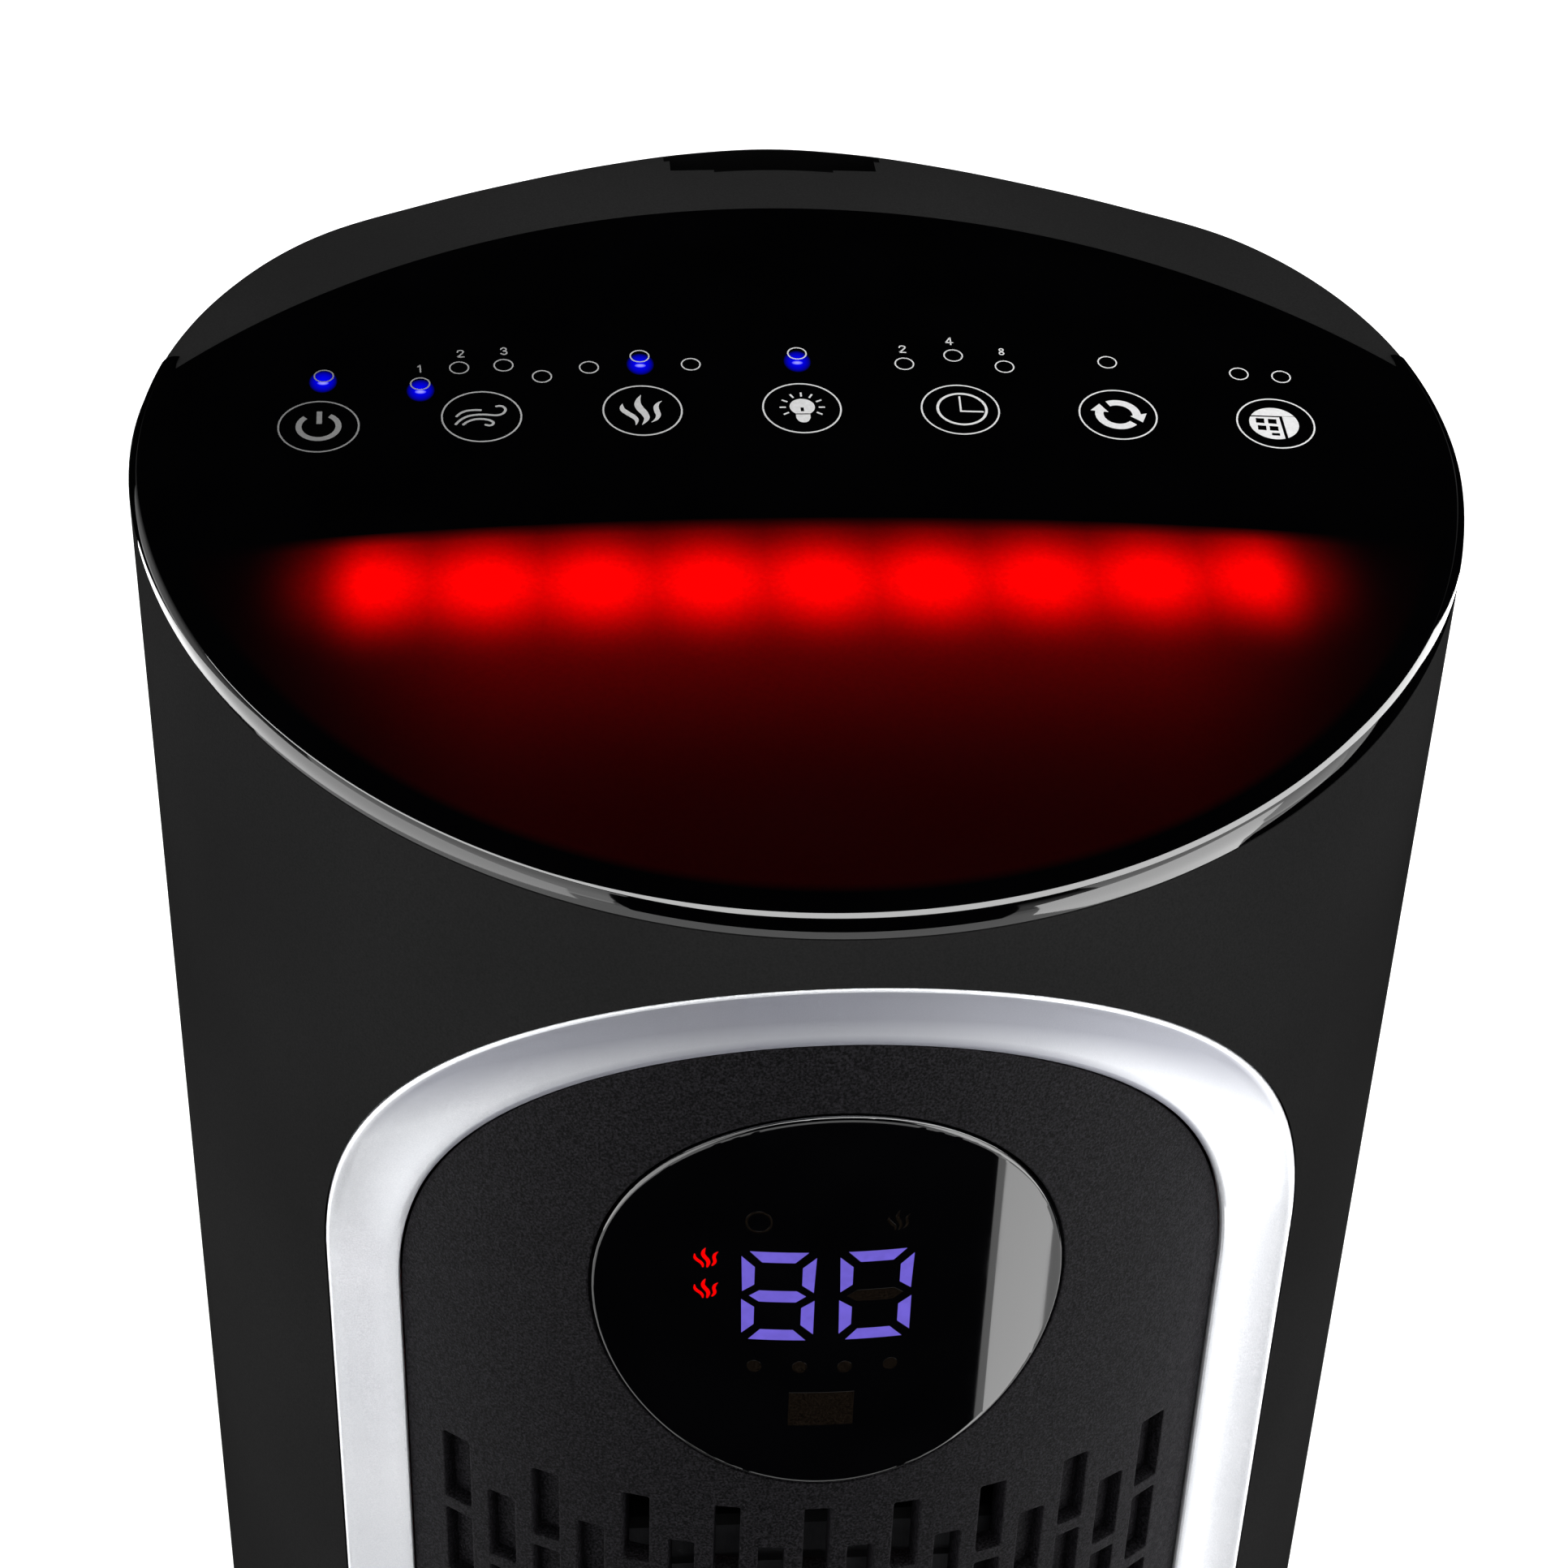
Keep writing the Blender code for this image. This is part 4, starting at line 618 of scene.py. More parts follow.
class Finish(Nodes):
    """A Principled material and short ways to add grain, wear and colour variation to it."""

    def __init__(self, name, colour, roughness, metallic=0.0, shine=0.5):
        made = bpy.data.materials.new(name)
        made.diffuse_color = (*colour, 1)
        finishes[name] = made
        super().__init__(made)
        self.shader = self.tree.nodes["Principled BSDF"]
        self.height = None
        self.set("Base Color", colour)
        self.set("Roughness", roughness)
        self.set("Metallic", metallic)
        self.set("Specular IOR Level", shine)

    def set(self, socket, value):
        self.fill(self.shader.inputs[socket], value)

    def tint(self, source, start, end, dark, light, socket="Base Color"):
        """A colour that goes from dark to light as the source goes from start to end."""
        self.set(socket, self.mix(self.ramp(source, 0, 1, start, end), dark, light))

    def roughen(self, source, low, high, start=0.3, end=0.7):
        self.set("Roughness", self.ramp(source, low, high, start, end))

    def bump(self, source, depth):
        inputs = {"Distance": depth, "Strength": 1.0, "Height": source}
        if self.height:
            inputs["Normal"] = self.height
        self.height = self.node("Bump", inputs)
        self.set("Normal", self.height)


def grey(level, blue=0.0):
    return (level, level, level + blue)


def moulded(name, dark, light, roughness, grain, grain_depth, shine):
    """Moulded plastic: fine grain, a little unevenness and softly handled patches."""
    finish = Finish(name, dark, roughness, shine=shine)
    fine = finish.noise(grain, 4)
    finish.bump(fine, grain_depth)
    patches = finish.noise(0.09, 2)
    finish.tint(fine * patches, 0.12, 0.42, dark, light)
    finish.roughen(patches, roughness - 0.05, roughness + 0.06)


def grained():
    """The front panel's spark-eroded grain, coarser than the shell's."""
    finish = Finish("grained_panel", (0.010, 0.0095, 0.0105), 0.5, shine=0.03)
    grain = finish.noise(0.00045, 5, rough=0.62)
    coarse = finish.noise(0.0016, 3)
    finish.bump(grain, 0.00008)
    finish.bump(coarse, 0.00004)
    finish.tint(grain, 0.42, 0.72, (0.0014, 0.0013, 0.0016), (0.0190, 0.0178, 0.0206))
    finish.roughen(coarse, 0.46, 0.6)


def silver():
    """Silver paint with fine flakes, a faint cloudiness from the spray, and painted shade where it faces
    down.
    """
    finish = Finish("silver_paint", (0.84, 0.86, 0.90), 0.3, 0.72)
    flakes = finish.noise(0.00028, 2, rough=0.7)
    uneven = finish.ramp(flakes * 0.6 + finish.noise(0.035, 3) * 0.4, 0, 1, 0.32, 0.68)
    flaked = finish.mix(uneven, (0.80, 0.82, 0.86), (0.95, 0.96, 0.99))
    # Painted shade: the colour turns to a dull blue-grey where the frame faces down, standing in for the
    # shade there.
    downward_painted_shade = finish.ramp(finish.axes("Normal")[2], 0.0, 1.0, -0.44, -0.34)
    finish.set("Base Color", finish.mix(downward_painted_shade, (0.46, 0.47, 0.53), flaked))
    finish.roughen(flakes, 0.29, 0.46)
    finish.bump(flakes, 0.000012)


def polished(name, colour):
    """Gloss plastic or glass: nearly a mirror, with a faint wave and fine handling marks."""
    finish = Finish(name, colour, 0.035)
    marks = finish.noise(0.02, 5)
    finish.roughen(marks, 0.025, 0.06, 0.35, 0.75)
    finish.tint(marks, 0.3, 0.7, colour, tuple(c * 1.6 + 0.0001 for c in colour))
    finish.bump(finish.noise(0.03, 1), 0.00001)
    return finish


def red_glow(finish, x, y):
    """Nine red lamps under the front half: a bright row, and a wide faint glow in front of it."""
    along = (glow_row - y) / cos(lid_tilt)
    across = finish.math("ABSOLUTE", x)
    ahead = finish.math("MAXIMUM", along, 0.0)

    def bell(value, width):
        """A bell curve: 1 where value is 0, falling away over about that width."""
        return finish.math("EXPONENT", value * value * (-0.5 / width**2))

    def beyond(half_width, width):
        return bell(finish.math("MAXIMUM", across - half_width, 0.0), width)

    lamps = bell(finish.math("PINGPONG", across, glow_pitch / 2), glow_spread)
    core = (lamps * glow_lamp_share + glow_row_share) * beyond(glow_half_row, glow_end_spread)
    core = core * bell(along, glow_depth)
    wide = bell(ahead, glow_wide_depth) * glow_wide_share
    wide = wide * bell(finish.math("MINIMUM", along, 0.0), glow_depth)
    faint = bell(ahead, glow_faint_depth) * glow_faint_share
    wide = (wide + faint) * beyond(glow_wide_half, glow_wide_spread)
    behind = y - glow_edge + x * x * glow_edge_bend
    cut_off = finish.ramp(behind, 1.0, 0.0, -glow_edge_soft, glow_edge_sharp)
    cut_off = cut_off * finish.ramp(finish.distance(x, y), 1.0, 0.0, *glow_rim)
    speck = finish.ramp(finish.noise(0.0009, 2), 0.93, 1.07, 0.3, 0.7)
    return (core + wide) * cut_off * speck


def blue_glow(finish, x, y):
    """Small blue lamps that shine through the lid: their glow, and their paler cores."""

    def blob(side, down, size, level, reach):
        wide, high = side / size[0], down / size[1]
        return finish.ramp(wide * wide + high * high, level, 0.0, 0.0, reach)

    glows, cores = [], []
    for across, along in lamp_places:
        side = x - across * mark_unit
        down = (y - (mark_origin_y + along * mark_unit * cos(lid_tilt))) * (1 / cos(lid_tilt))
        glows.append(blob(side, down, lamp_glow_size, lamp_glow_level, lamp_glow_reach))
        cores.append(blob(side, down + lamp_core_drop, lamp_core_size, 1.0, 1.0))
    return sum(glows[1:], glows[0]), sum(cores[1:], cores[0])


def lit_lid():
    """The lid: black gloss with lamps that glow through it."""
    finish = polished("gloss_black_lit", grey(0.0002, 0.0001))
    x, y, _ = finish.axes()
    red = red_glow(finish, x, y)
    glow, core = blue_glow(finish, x, y)
    pale = core * lamp_core_white
    colour = finish.node("CombineColor", {0: red + pale, 1: pale, 2: glow + core})
    finish.set("Emission Color", colour)
    finish.set("Emission Strength", 1.0)


def glowing(name, colour, strength, dark):
    """A lit mark, a little uneven from edge to edge."""
    finish = Finish(name, tuple(c * 0.05 for c in colour), 0.06)
    dim = tuple(c * dark for c in colour)
    finish.tint(finish.noise(0.002, 2), 0.3, 0.7, dim, colour, "Emission Color")
    finish.set("Emission Strength", strength)


def printed():
    """White ink under the gloss, with painted light: the ink is made brighter to the right, as if the
    panel were lit more there.
    """
    finish = Finish("white_ink", (0.6, 0.6, 0.6), 0.08)
    x = finish.axes()[0]
    # Painted light: the ink's brightness rises from left to right.
    level = finish.ramp(x, 0.0, 0.45, -0.09, 0.0) + finish.ramp(x, 0.19, 0.37, 0.0, 0.09)
    level = level * finish.ramp(finish.noise(0.0006, 2), 0.93, 1.05, 0.3, 0.7)
    finish.set("Base Color", finish.mix(level, grey(0.0), grey(1.0)))


def unlit():
    """Marks of the display that are off: a dull brown behind the dark glass."""
    finish = Finish("unlit_marks", (0.010, 0.0065, 0.0045), 0.06)
    finish.tint(finish.noise(0.0003, 3), 0.35, 0.7, (0.002, 0.0014, 0.001), (0.009, 0.0062, 0.0042))


def brushed(name, colour, roughness, along):
    """Bare metal with fine lines along one direction."""
    finish = Finish(name, colour, roughness, 1.0)
    lines = finish.noise(0.002, 3, along)
    finish.tint(finish.noise(0.004, 3), 0.3, 0.7, tuple(c * 0.82 for c in colour), colour)
    finish.roughen(lines, roughness - 0.08, roughness + 0.1)
    finish.bump(lines, 0.00002)


def board():
    """A circuit board: green mask with lighter tracks."""
    finish = Finish("board_green", (0.01, 0.09, 0.04), 0.35)
    tracks = finish.math("GREATER_THAN", finish.noise(0.004, 0, (1, 0.2, 1)), 0.53)
    finish.set("Base Color", finish.mix(tracks, (0.008, 0.075, 0.035), (0.02, 0.13, 0.06)))
    finish.bump(tracks, 0.00004)


def pleated():
    """Filter paper in narrow upright pleats, with painted shade in the creases."""
    finish = Finish("filter_paper", (0.72, 0.72, 0.68), 0.9)
    pleat = 0.0016
    fold_height_and_shade = finish.math("PINGPONG", finish.axes()[0], pleat)
    # Painted shade: the paper is coloured darker towards each crease of the pleat.
    finish.tint(fold_height_and_shade, 0.0, pleat, (0.45, 0.45, 0.42), (0.78, 0.78, 0.74))
    finish.bump(fold_height_and_shade, 1.0)
    finish.bump(finish.noise(0.0006, 3), 0.00005)


def meshed():
    """A fine dark net over the filter."""
    finish = Finish("prefilter_mesh", grey(0.02, 0.002), 0.7)
    x, _, z = finish.axes()
    across, up = (finish.math("PINGPONG", way, 0.0009) for way in (x, z))
    thread = finish.math("MAXIMUM", across, up)
    finish.tint(thread, 0.0005, 0.0008, grey(0.004, 0.0005), grey(0.035, 0.003))
    finish.bump(thread, 0.6)


def rubber():
    """Black rubber with a little dust."""
    finish = Finish("black_rubber", grey(0.012), 0.82)
    finish.tint(finish.noise(0.004, 5), 0.45, 0.8, grey(0.010), (0.030, 0.029, 0.028))
    finish.bump(finish.noise(0.0008, 3), 0.00006)


def powder_coated():
    """Paint with a fine pebbled face."""
    finish = Finish("painted_iron", (0.03, 0.031, 0.033), 0.55)
    pebble = finish.node("TexVoronoi", {"Scale": 1 / 0.0011, "Vector": finish.place()}, "Distance")
    finish.bump(pebble, 0.00009)
    finish.tint(pebble, 0.1, 0.8, grey(0.022, 0.002), grey(0.05, 0.003))


def nylon():
    """Milky nylon that lets a little light in."""
    finish = Finish("white_nylon", (0.62, 0.61, 0.57), 0.45)
    finish.set("Subsurface Weight", 0.08)
    finish.set("Subsurface Radius", (0.002, 0.002, 0.0015))
    finish.tint(finish.noise(0.006, 3), 0.3, 0.7, (0.56, 0.55, 0.51), (0.68, 0.67, 0.63))
    finish.bump(finish.noise(0.0007, 2), 0.00003)


def make_finishes():
    """The finishes of the record's material slots, and those of single pieces."""
    moulded("matte_shell", grey(0.0130), grey(0.0206), 0.7, 0.0004, 0.00002, 0.0)
    moulded("base_plastic", grey(0.009), grey(0.014), 0.42, 0.0005, 0.00002, 0.2)
    moulded("inner_plastic", grey(0.008, 0.0005), grey(0.013, 0.0005), 0.5, 0.0006, 0.00003, 0.1)
    # Near-black nylon, used as painted shade for the heater's frame inside the tower.
    moulded("dark_nylon_painted_shade", grey(0.003), grey(0.005), 0.5, 0.0006, 0.00003, 0.05)
    # Near-black, far darker than the shell: painted shade for the inside of the remote control's pocket.
    moulded("pocket_painted_shade", grey(0.0012, 0.0001), grey(0.0020, 0.0001), 0.3, 0.0006, 0.00001, 0.1)
    polished("gloss_black", grey(0.0008, 0.0001))
    polished("display_glass", grey(0.0006, 0.0002))
    brushed("zinc_steel", (0.62, 0.63, 0.66), 0.32, (1, 1, 8))
    # Painted shade: the heater's metal is made nearly black, far darker than bare aluminium, so the
    # inside looks dark through the slots.
    brushed("heater_aluminium", grey(0.03, 0.002), 0.5, (8, 1, 1))
    glowing("light_red", (1.0, 0.02, 0.01), 1.5, 0.65)
    glowing("lit_figures", (0.165, 0.12, 0.64), 1.0, 0.86)
    glowing("lit_flames", (1.0, 0.0, 0.0), 1.0, 0.9)
    plain_finishes = (grained, silver, nylon, powder_coated, rubber, board, pleated, meshed)
    for make in (*plain_finishes, lit_lid, printed, unlit):
        make()


def dress_nodes():
    """Each CAD node that stays gets its slot's finish."""
    slots = {part["node"]: part["material_slot"] for part in frame["record"]["subparts"]}
    # Painted shade: the heater's frame is made near-black so that the tower's inside looks dark through
    # the open slots.
    slots["heater_frame"] = "dark_nylon_painted_shade"
    for name, node in frame["nodes"].items():
        for slot in node.material_slots:
            slot.material = finishes[slots[name]]


# Shells


def make_front_shell():
    """The front half of the tower, with a shoulder where the sloping top draws in."""
    half = pi - seam_angle - gap / body_radius
    inner_radius = body_radius - shell_wall
    loops = []
    for angle in spread(-half, half, shell_columns):
        rim = rim_radius(angle)
        outer, inner = front_point(angle, body_radius), front_point(angle, inner_radius)
        foot = shoulder_foot(angle, lid_plane(front_point(angle, rim)[1]))
        loop = [(*inner, tower_bottom), (*outer, tower_bottom), (*outer, foot)]
        for x, y in (front_point(angle, rim), front_point(angle, rim - shell_wall)):
            loop.append((x, y, lid_plane(y) - lid_drop - gap))
        loops.append(loop + [(*inner, foot - shell_wall * shoulder_offset_share)])
    shell = piece("front_shell", loft(loops), "matte_shell", "tower", "body_front")
    window = arch(window_half_width, window_top, window_bottom, window_rise, window_steps)
    carve(shell, prism(window, 1, (-body_radius - cut_margin, 0)))
    round_edges(shell)


def make_rear_shell():
    """The rear half, with the door's opening and the notch for the latch's tongue above it."""
    half = seam_angle * body_radius
    outline = mirrored([(half, tower_bottom), (half, shell_top - gap)])
    reach = door_half_angle * body_radius + gap
    top = door_top + door_top_gap
    opening = [(reach, door_bottom - gap), (reach, top)]
    opening += [(notch_half_width, top), (notch_half_width, top + notch_rise)]
    shape = flat_panel(outline, shell_wall, shell_edge, holes=[mirrored(opening)])
    shape = wrapped(shape, body_radius, wrap_step, rear=True)
    piece("rear_shell", shape, "matte_shell", "tower", "body_rear")


def make_door():
    """The filter's door: rows of slots, a recess for the latch and two hooks at its foot."""
    reach = door_half_angle * body_radius
    half = latch_width / 2
    recess = door_top - latch_height - latch_travel - gap
    outline = mirrored([(reach, door_bottom), (reach, door_top), (half, door_top), (half, recess)])
    step = 2 * door_half_angle / door_columns
    slots = []
    for column in range(1, door_columns - 1):
        middle = (door_half_angle - (column + 0.5) * step) * body_radius
        for row in range(door_slot_rows):
            low = door_slot_first + row * door_slot_row_pitch
            sides = (middle - door_slot_width / 2, middle + door_slot_width / 2)
            slots.append(round_box(*sides, low, low + door_slot_height, door_slot_corner, 5))
    shape = flat_panel(outline, shell_wall, shell_edge, holes=slots)
    shape = wrapped(shape, body_radius, wrap_step, rear=True)
    shape = merged(shape, door_hook(-1), door_hook(1))
    piece("rear_door", shape, "matte_shell", "door", "filter_door")


def door_hook(side):
    """A tab on the inside of the door's foot, down behind the shell's sill."""
    middle, half = side * hook_place, hook_half_width
    rear = sqrt((body_radius - shell_wall - gap) ** 2 - (hook_place + half) ** 2)
    loop = round_box(middle - half, middle + half, rear - hook_thickness, rear, hook_corner)
    return prism(loop, 2, (door_bottom - hook_reach, door_bottom + hook_reach))


def make_latch():
    """The door's latch: a slider with finger ribs and a tongue."""
    half = latch_width / 2 - gap
    rear = sqrt(body_radius**2 - half**2)
    inner, edge = rear - latch_thickness, rear - latch_edge
    low, high = door_top - latch_height, door_top
    outline = [(inner, low), (edge, low), (rear, low + latch_edge)]
    for i in range(latch_ribs):
        groove = low + latch_rib_first + i * latch_rib_pitch
        for turn in spread(0, pi, 4):
            rise = latch_rib_height * (1 - cos(turn)) / 2
            outline.append((rear - latch_rib_depth * sin(turn), groove + rise))
    outline += [(rear, high - latch_edge), (edge, high), (inner, high)]
    front = body_radius - shell_wall - gap
    top = door_top + door_top_gap + notch_rise - gap * 2
    tongue = round_box(-tongue_half_width, tongue_half_width, door_top - gap, top, tongue_corner)
    shape = merged(prism(outline, 0, (-half, half)), prism(tongue, 1, (front, front + tongue_thickness)))
    piece("latch_slider", shape, "matte_shell", "latch", "door_latch")


# Bezel, panel and lens

# The bezel's section: shares of the way in, and how far each point lies below the straight slope
bezel_outer_edge = [(0.0, 0.0005), (0.01, 0.0002), (0.025, 0.00005), (0.05, 0.0)]
bezel_face = [(share, bezel_dish * sin(pi * share)) for share in spread(0.1, 0.9, 8)]
bezel_inner_edge = [(0.955, 0.0002), (0.985, 0.0005), (1.0, 0.0012)]


def make_bezel():
    """The silver frame: a narrow rim, then a slope in to the panel."""
    top, bottom = window_top - gap, window_bottom + gap
    outer = arch(window_half_width - gap, top, bottom, window_rise, window_steps)
    inner = arch(panel_half_width, panel_top, panel_bottom, panel_rise, window_steps)
    loops = []
    for (ox, oz), (ix, iz) in zip(outer, inner):
        outer_y = -sqrt(body_radius**2 - ox * ox)
        inner_y = -sqrt(panel_radius**2 - ix * ix)
        loop = []
        for share, sink in bezel_outer_edge + bezel_face + bezel_inner_edge:
            y = outer_y + (inner_y - outer_y) * share + sink
            loop.append((ox + (ix - ox) * share, y, oz + (iz - oz) * share))
        loops.append(loop + [(ix, inner_y + bezel_depth, iz), (ox, outer_y + bezel_depth, oz)])
    piece("bezel_frame", loft(loops, closed=True), "silver_paint", "tower", "front_bezel")


def slot_tops(column):
    """The heights of the tops of a column's slots. Each second column is half a row lower."""
    reach = abs(column * slot_pitch) + slot_pitch
    side = sqrt(max(0, 1 - (reach / panel_half_width) ** 2))
    lowest = max(slot_last_bottom, panel_bottom + panel_rise * (1 - side) + slot_pitch)
    top = slot_first_top - (slot_row_pitch / 2 if column % 2 else 0)
    tops = []
    while top - slot_height > lowest:
        tops.append(top)
        top -= slot_row_pitch
    return tops


def make_panel():
    """The grained panel: rows of slots, open in the middle columns and blind at the sides."""
    top, bottom = panel_top - gap, panel_bottom + gap
    outline = arch(panel_half_width - gap, top, bottom, panel_rise, panel_steps)
    lens_hole = circle(lens_radius + gap, (0, lens_height))
    outline, lens_hole = (unrolled(loop, panel_front_radius) for loop in (outline, lens_hole))
    holes, pits = [lens_hole], []
    for column in range(-slot_columns_each_side, slot_columns_each_side + 1):
        angle = asin((column * slot_pitch + slot_shift) / panel_front_radius)
        middle = panel_front_radius * angle
        half = slot_width / cos(angle) / 2
        for top in slot_tops(column):
            loop = round_box(middle - half, middle + half, top - slot_height, top, slot_corner)
            (holes if abs(column) <= open_columns_each_side else pits).append(loop)
    shape = flat_panel(outline, panel_thickness, panel_edge, holes, pits, blind_slot_depth, 2)
    shape = wrapped(shape, panel_front_radius, wrap_step)
    piece("grille_panel", shape, "grained_panel", "tower", "front_grille")


def make_lens():
    """The round dark lens over the display."""
    outline = unrolled(circle(lens_radius, (0, lens_height), lens_steps), lens_face_radius)
    shape = flat_panel(outline, lens_thickness, lens_edge, steps=6)
    shape = wrapped(shape, lens_face_radius, fine_wrap_step)
    piece("lens", shape, "display_glass", "tower", "display_lens")


# Lid and deck


def lid_loop(inset, drop, rear_inset=0.0):
    """The lid's outline with its round edge drawn in by inset, as points drop below its face."""
    half_turn = pi - seam_angle
    corner_x, corner_y = front_point(half_turn, rim_radius(half_turn) - edge_round)
    turns = spread(-half_turn, half_turn, lid_front_steps)
    loop = [front_point(angle, rim_radius(angle) - inset) for angle in turns]
    loop.append((corner_x, corner_y))
    loop += [(x, lid_arc_y(x) - rear_inset) for x in spread(corner_x, -corner_x, lid_rear_steps)]
    loop.append((-corner_x, corner_y))
    return [(x, y, lid_plane(y) - drop) for x, y in loop]


def make_lid():
    """The touch plate, round at its edge."""
    loops = [lid_loop(0, lid_drop), lid_loop(0, edge_round)]
    for turn in spread(0, pi / 2, lid_round_steps)[1:]:
        sink = edge_round * (1 - sin(turn))
        rear_inset = min(lid_rear_round, sink * lid_rear_round_share)
        loops.append(lid_loop(edge_round * (1 - cos(turn)), sink, rear_inset))
    loops.append(lid_loop(edge_round + lid_face_inset, 0, lid_face_rear_inset))
    piece("lid_plate", split_caps(loft(loops)), "gloss_black", "tower", "touch_lid", "gloss_black_lit")


def deck_ridge(x):
    """Where the deck's face ends and its round edge begins at x: the angle from the rear, and y."""
    low, high = 0, seam_angle
    for _ in range(ridge_search_steps):
        angle = (low + high) / 2
        found_x, found_y = rear_point(angle, rim_radius(pi - angle) - edge_round)
        low, high = (angle, high) if found_x < abs(x) else (low, angle)
    return angle, found_y


def deck_height(x, y):
    """The deck's face: in the lid's plane, but for a dip at the rim."""
    angle, ridge_y = deck_ridge(x)
    lid_y = lid_arc_y(x, gap)
    share = min((y - lid_y) / (ridge_y - lid_y), 1)
    turn = min((seam_angle - angle) / deck_dip_turn, 1)
    return lid_plane(y) - gap - deck_dip * turn**2 * (3 - 2 * turn) * share**2


def deck_block(columns=120, across=10, rounds=8):
    """The crescent behind the lid with the shoulder round it."""
    end = seam_angle - gap / body_radius
    loops = []
    for angle in spread(-end, end, columns):
        front_angle = pi - abs(angle)
        rim = rim_radius(front_angle)
        x, ridge_y = rear_point(angle, rim - edge_round)
        lid_y = lid_arc_y(x, gap)
        loop = [(x, y, deck_height(x, y)) for y in spread(lid_y, ridge_y, across)]
        edge = loop[-1][2]
        for turn in spread(0, pi / 2, rounds)[1:]:
            radius = rim - edge_round * (1 - sin(turn))
            loop.append((*rear_point(angle, radius), edge - edge_round * (1 - cos(turn))))
        side = rear_point(angle, body_radius)
        loop.append((*rear_point(angle, rim), edge - lid_drop))
        loop += [(*side, shoulder_foot(front_angle, edge)), (*side, shell_top)]
        loops.append(loop + [(x, ridge_y, shell_top), (x, lid_y, shell_top)])
    shape = loft(loops)
    for face in [face for face in shape.faces if len(face.verts) > 4]:
        corners = [
            v for v in face.verts if abs(v.co.y - ridge_y) < weld and abs(abs(v.co.x) - abs(x)) < weld
        ]
        bmesh.utils.face_split(face, *corners)
    return split_caps(shape)


def pocket_outline(grow):
    """The pocket's outline from above, flat at the front and along the rim at the rear."""
    half = pocket_width / 2 + grow
    front = deck_ridge(0)[1] - pocket_lip - pocket_depth - grow
    outline = [(x, front) for x in spread(-half, half, 4)]
    return outline + [(x, deck_ridge(x)[1] - pocket_lip + grow) for x in spread(half, -half, 24)]


def pocket_prism(grow, low, high):
    return split_caps(prism(pocket_outline(grow), 2, (low, high)))


def make_deck():
    """The deck and, below it, the cup that holds the remote control."""
    deck = piece("deck", deck_block(), "matte_shell", "tower", "top_cover")
    carve(deck, pocket_prism(0, shell_top - cut_margin, total_height + cut_margin))
    round_edges(deck)
    # Painted shade: the pocket's walls and its cup are made near-black, far darker than the deck, to
    # stand for the shade inside the recess.
    deck.data.materials.append(finishes["pocket_painted_shade"])
    painted_shade_mouth = pocket_outline(pocket_lip)
    for face in deck.data.polygons:
        if inside(face.center[:2], painted_shade_mouth):
            face.material_index = 1
    cup = pocket_prism(pocket_wall, pocket_floor - pocket_wall, shell_top - weld)
    cup = piece("pocket_cup", cup, "matte_shell", "tower", finish="pocket_painted_shade")
    carve(cup, pocket_prism(0, pocket_floor, shell_top + cut_margin))


# Marks on the lid and the lens


def curve(points, steps):
    """A smooth curve through points of x, y and width."""
    rows = [points[0], *points, points[-1]]
    found = []
    for near in zip(rows, rows[1:], rows[2:], rows[3:]):
        for t in spread(0, 1, steps)[:-1]:
            point = []
            for p, q, r, s in zip(*near):
                bend = (2 * p - 5 * q + 4 * r - s) * t**2 + (3 * q - p - 3 * r + s) * t**3
                point.append((2 * q + (r - p) * t + bend) / 2)
            found.append(point)
    return found + [list(points[-1])]


def stroke(points, steps=5, cap_steps=4):
    """The outline of a curved line through points of x, y and width, with round ends."""
    row = curve(points, steps)
    sides = []
    for i, (x, y, width) in enumerate(row):
        before, after = row[max(i - 1, 0)], row[min(i + 1, len(row) - 1)]
        way = Vector((after[0] - before[0], after[1] - before[1])).normalized() * width / 2
        sides.append((Vector((x, y)), way, Vector((-way.y, way.x))))
    outline = [middle + side for middle, _, side in sides]
    turns = spread(0, pi, cap_steps)[1:-1]
    middle, way, side = sides[-1]
    outline += [middle + side * cos(t) + way * sin(t) for t in turns]
    outline += [middle - side for middle, _, side in reversed(sides)]
    middle, way, side = sides[0]
    outline += [middle - side * cos(t) - way * sin(t) for t in turns]
    return [(point.x, point.y) for point in outline]


def bar(first, last, width):
    """The outline of a straight line with square ends."""
    way = (Vector(last) - Vector(first)).normalized() * width / 2
    side = Vector((-way.y, way.x))
    corners = ((first, side), (last, side), (last, -side), (first, -side))
    return [tuple(Vector(point) + shift) for point, shift in corners]


def arc(radius, first, last, centre=(0.0, 0.0), steps=24):
    return [polar(radius, radians(turn), centre) for turn in spread(first, last, steps)]


def ring(radius, line, centre=(0.0, 0.0)):
    """A line round a circle, as an outline and its hole."""
    return circle(radius + line / 2, centre, ring_steps), [circle(radius - line / 2, centre, ring_steps)]


def plain(*outlines):
    return [(outline, []) for outline in outlines]


def strokes(lines, width):
    return plain(*[stroke([(x, y, width) for x, y in line]) for line in lines])


def power_mark():
    open_ring = arc(4.2, 128, 412) + arc(3.1, 412, 128)
    return plain(open_ring, bar((0.16, 0.75), (0.46, 4.35), 1.0))


def wind_mark():
    upper = [(-4.61, 0.39), (-3.71, 1.36), (-2.64, 1.86), (-1.21, 1.99), (-0.07, 1.89)]
    middle = [(-4.89, -1.93), (-4.07, -0.86), (-2.82, 0.11), (-1.21, 0.54), (0.57, 0.5), (2.71, 0.13)]
    middle += [(3.9, 0.5), (4.55, 1.55), (4.25, 2.5), (3.57, 2.86), (2.93, 2.75)]
    lower = [(-3.54, -2.14), (-2.64, -1.32), (-1.39, -0.79), (0.04, -0.76), (1.29, -1.16)]
    lower += [(2.02, -1.86), (1.89, -2.5), (1.29, -2.78), (0.57, -2.5)]
    return strokes((upper, middle, lower), 0.48)


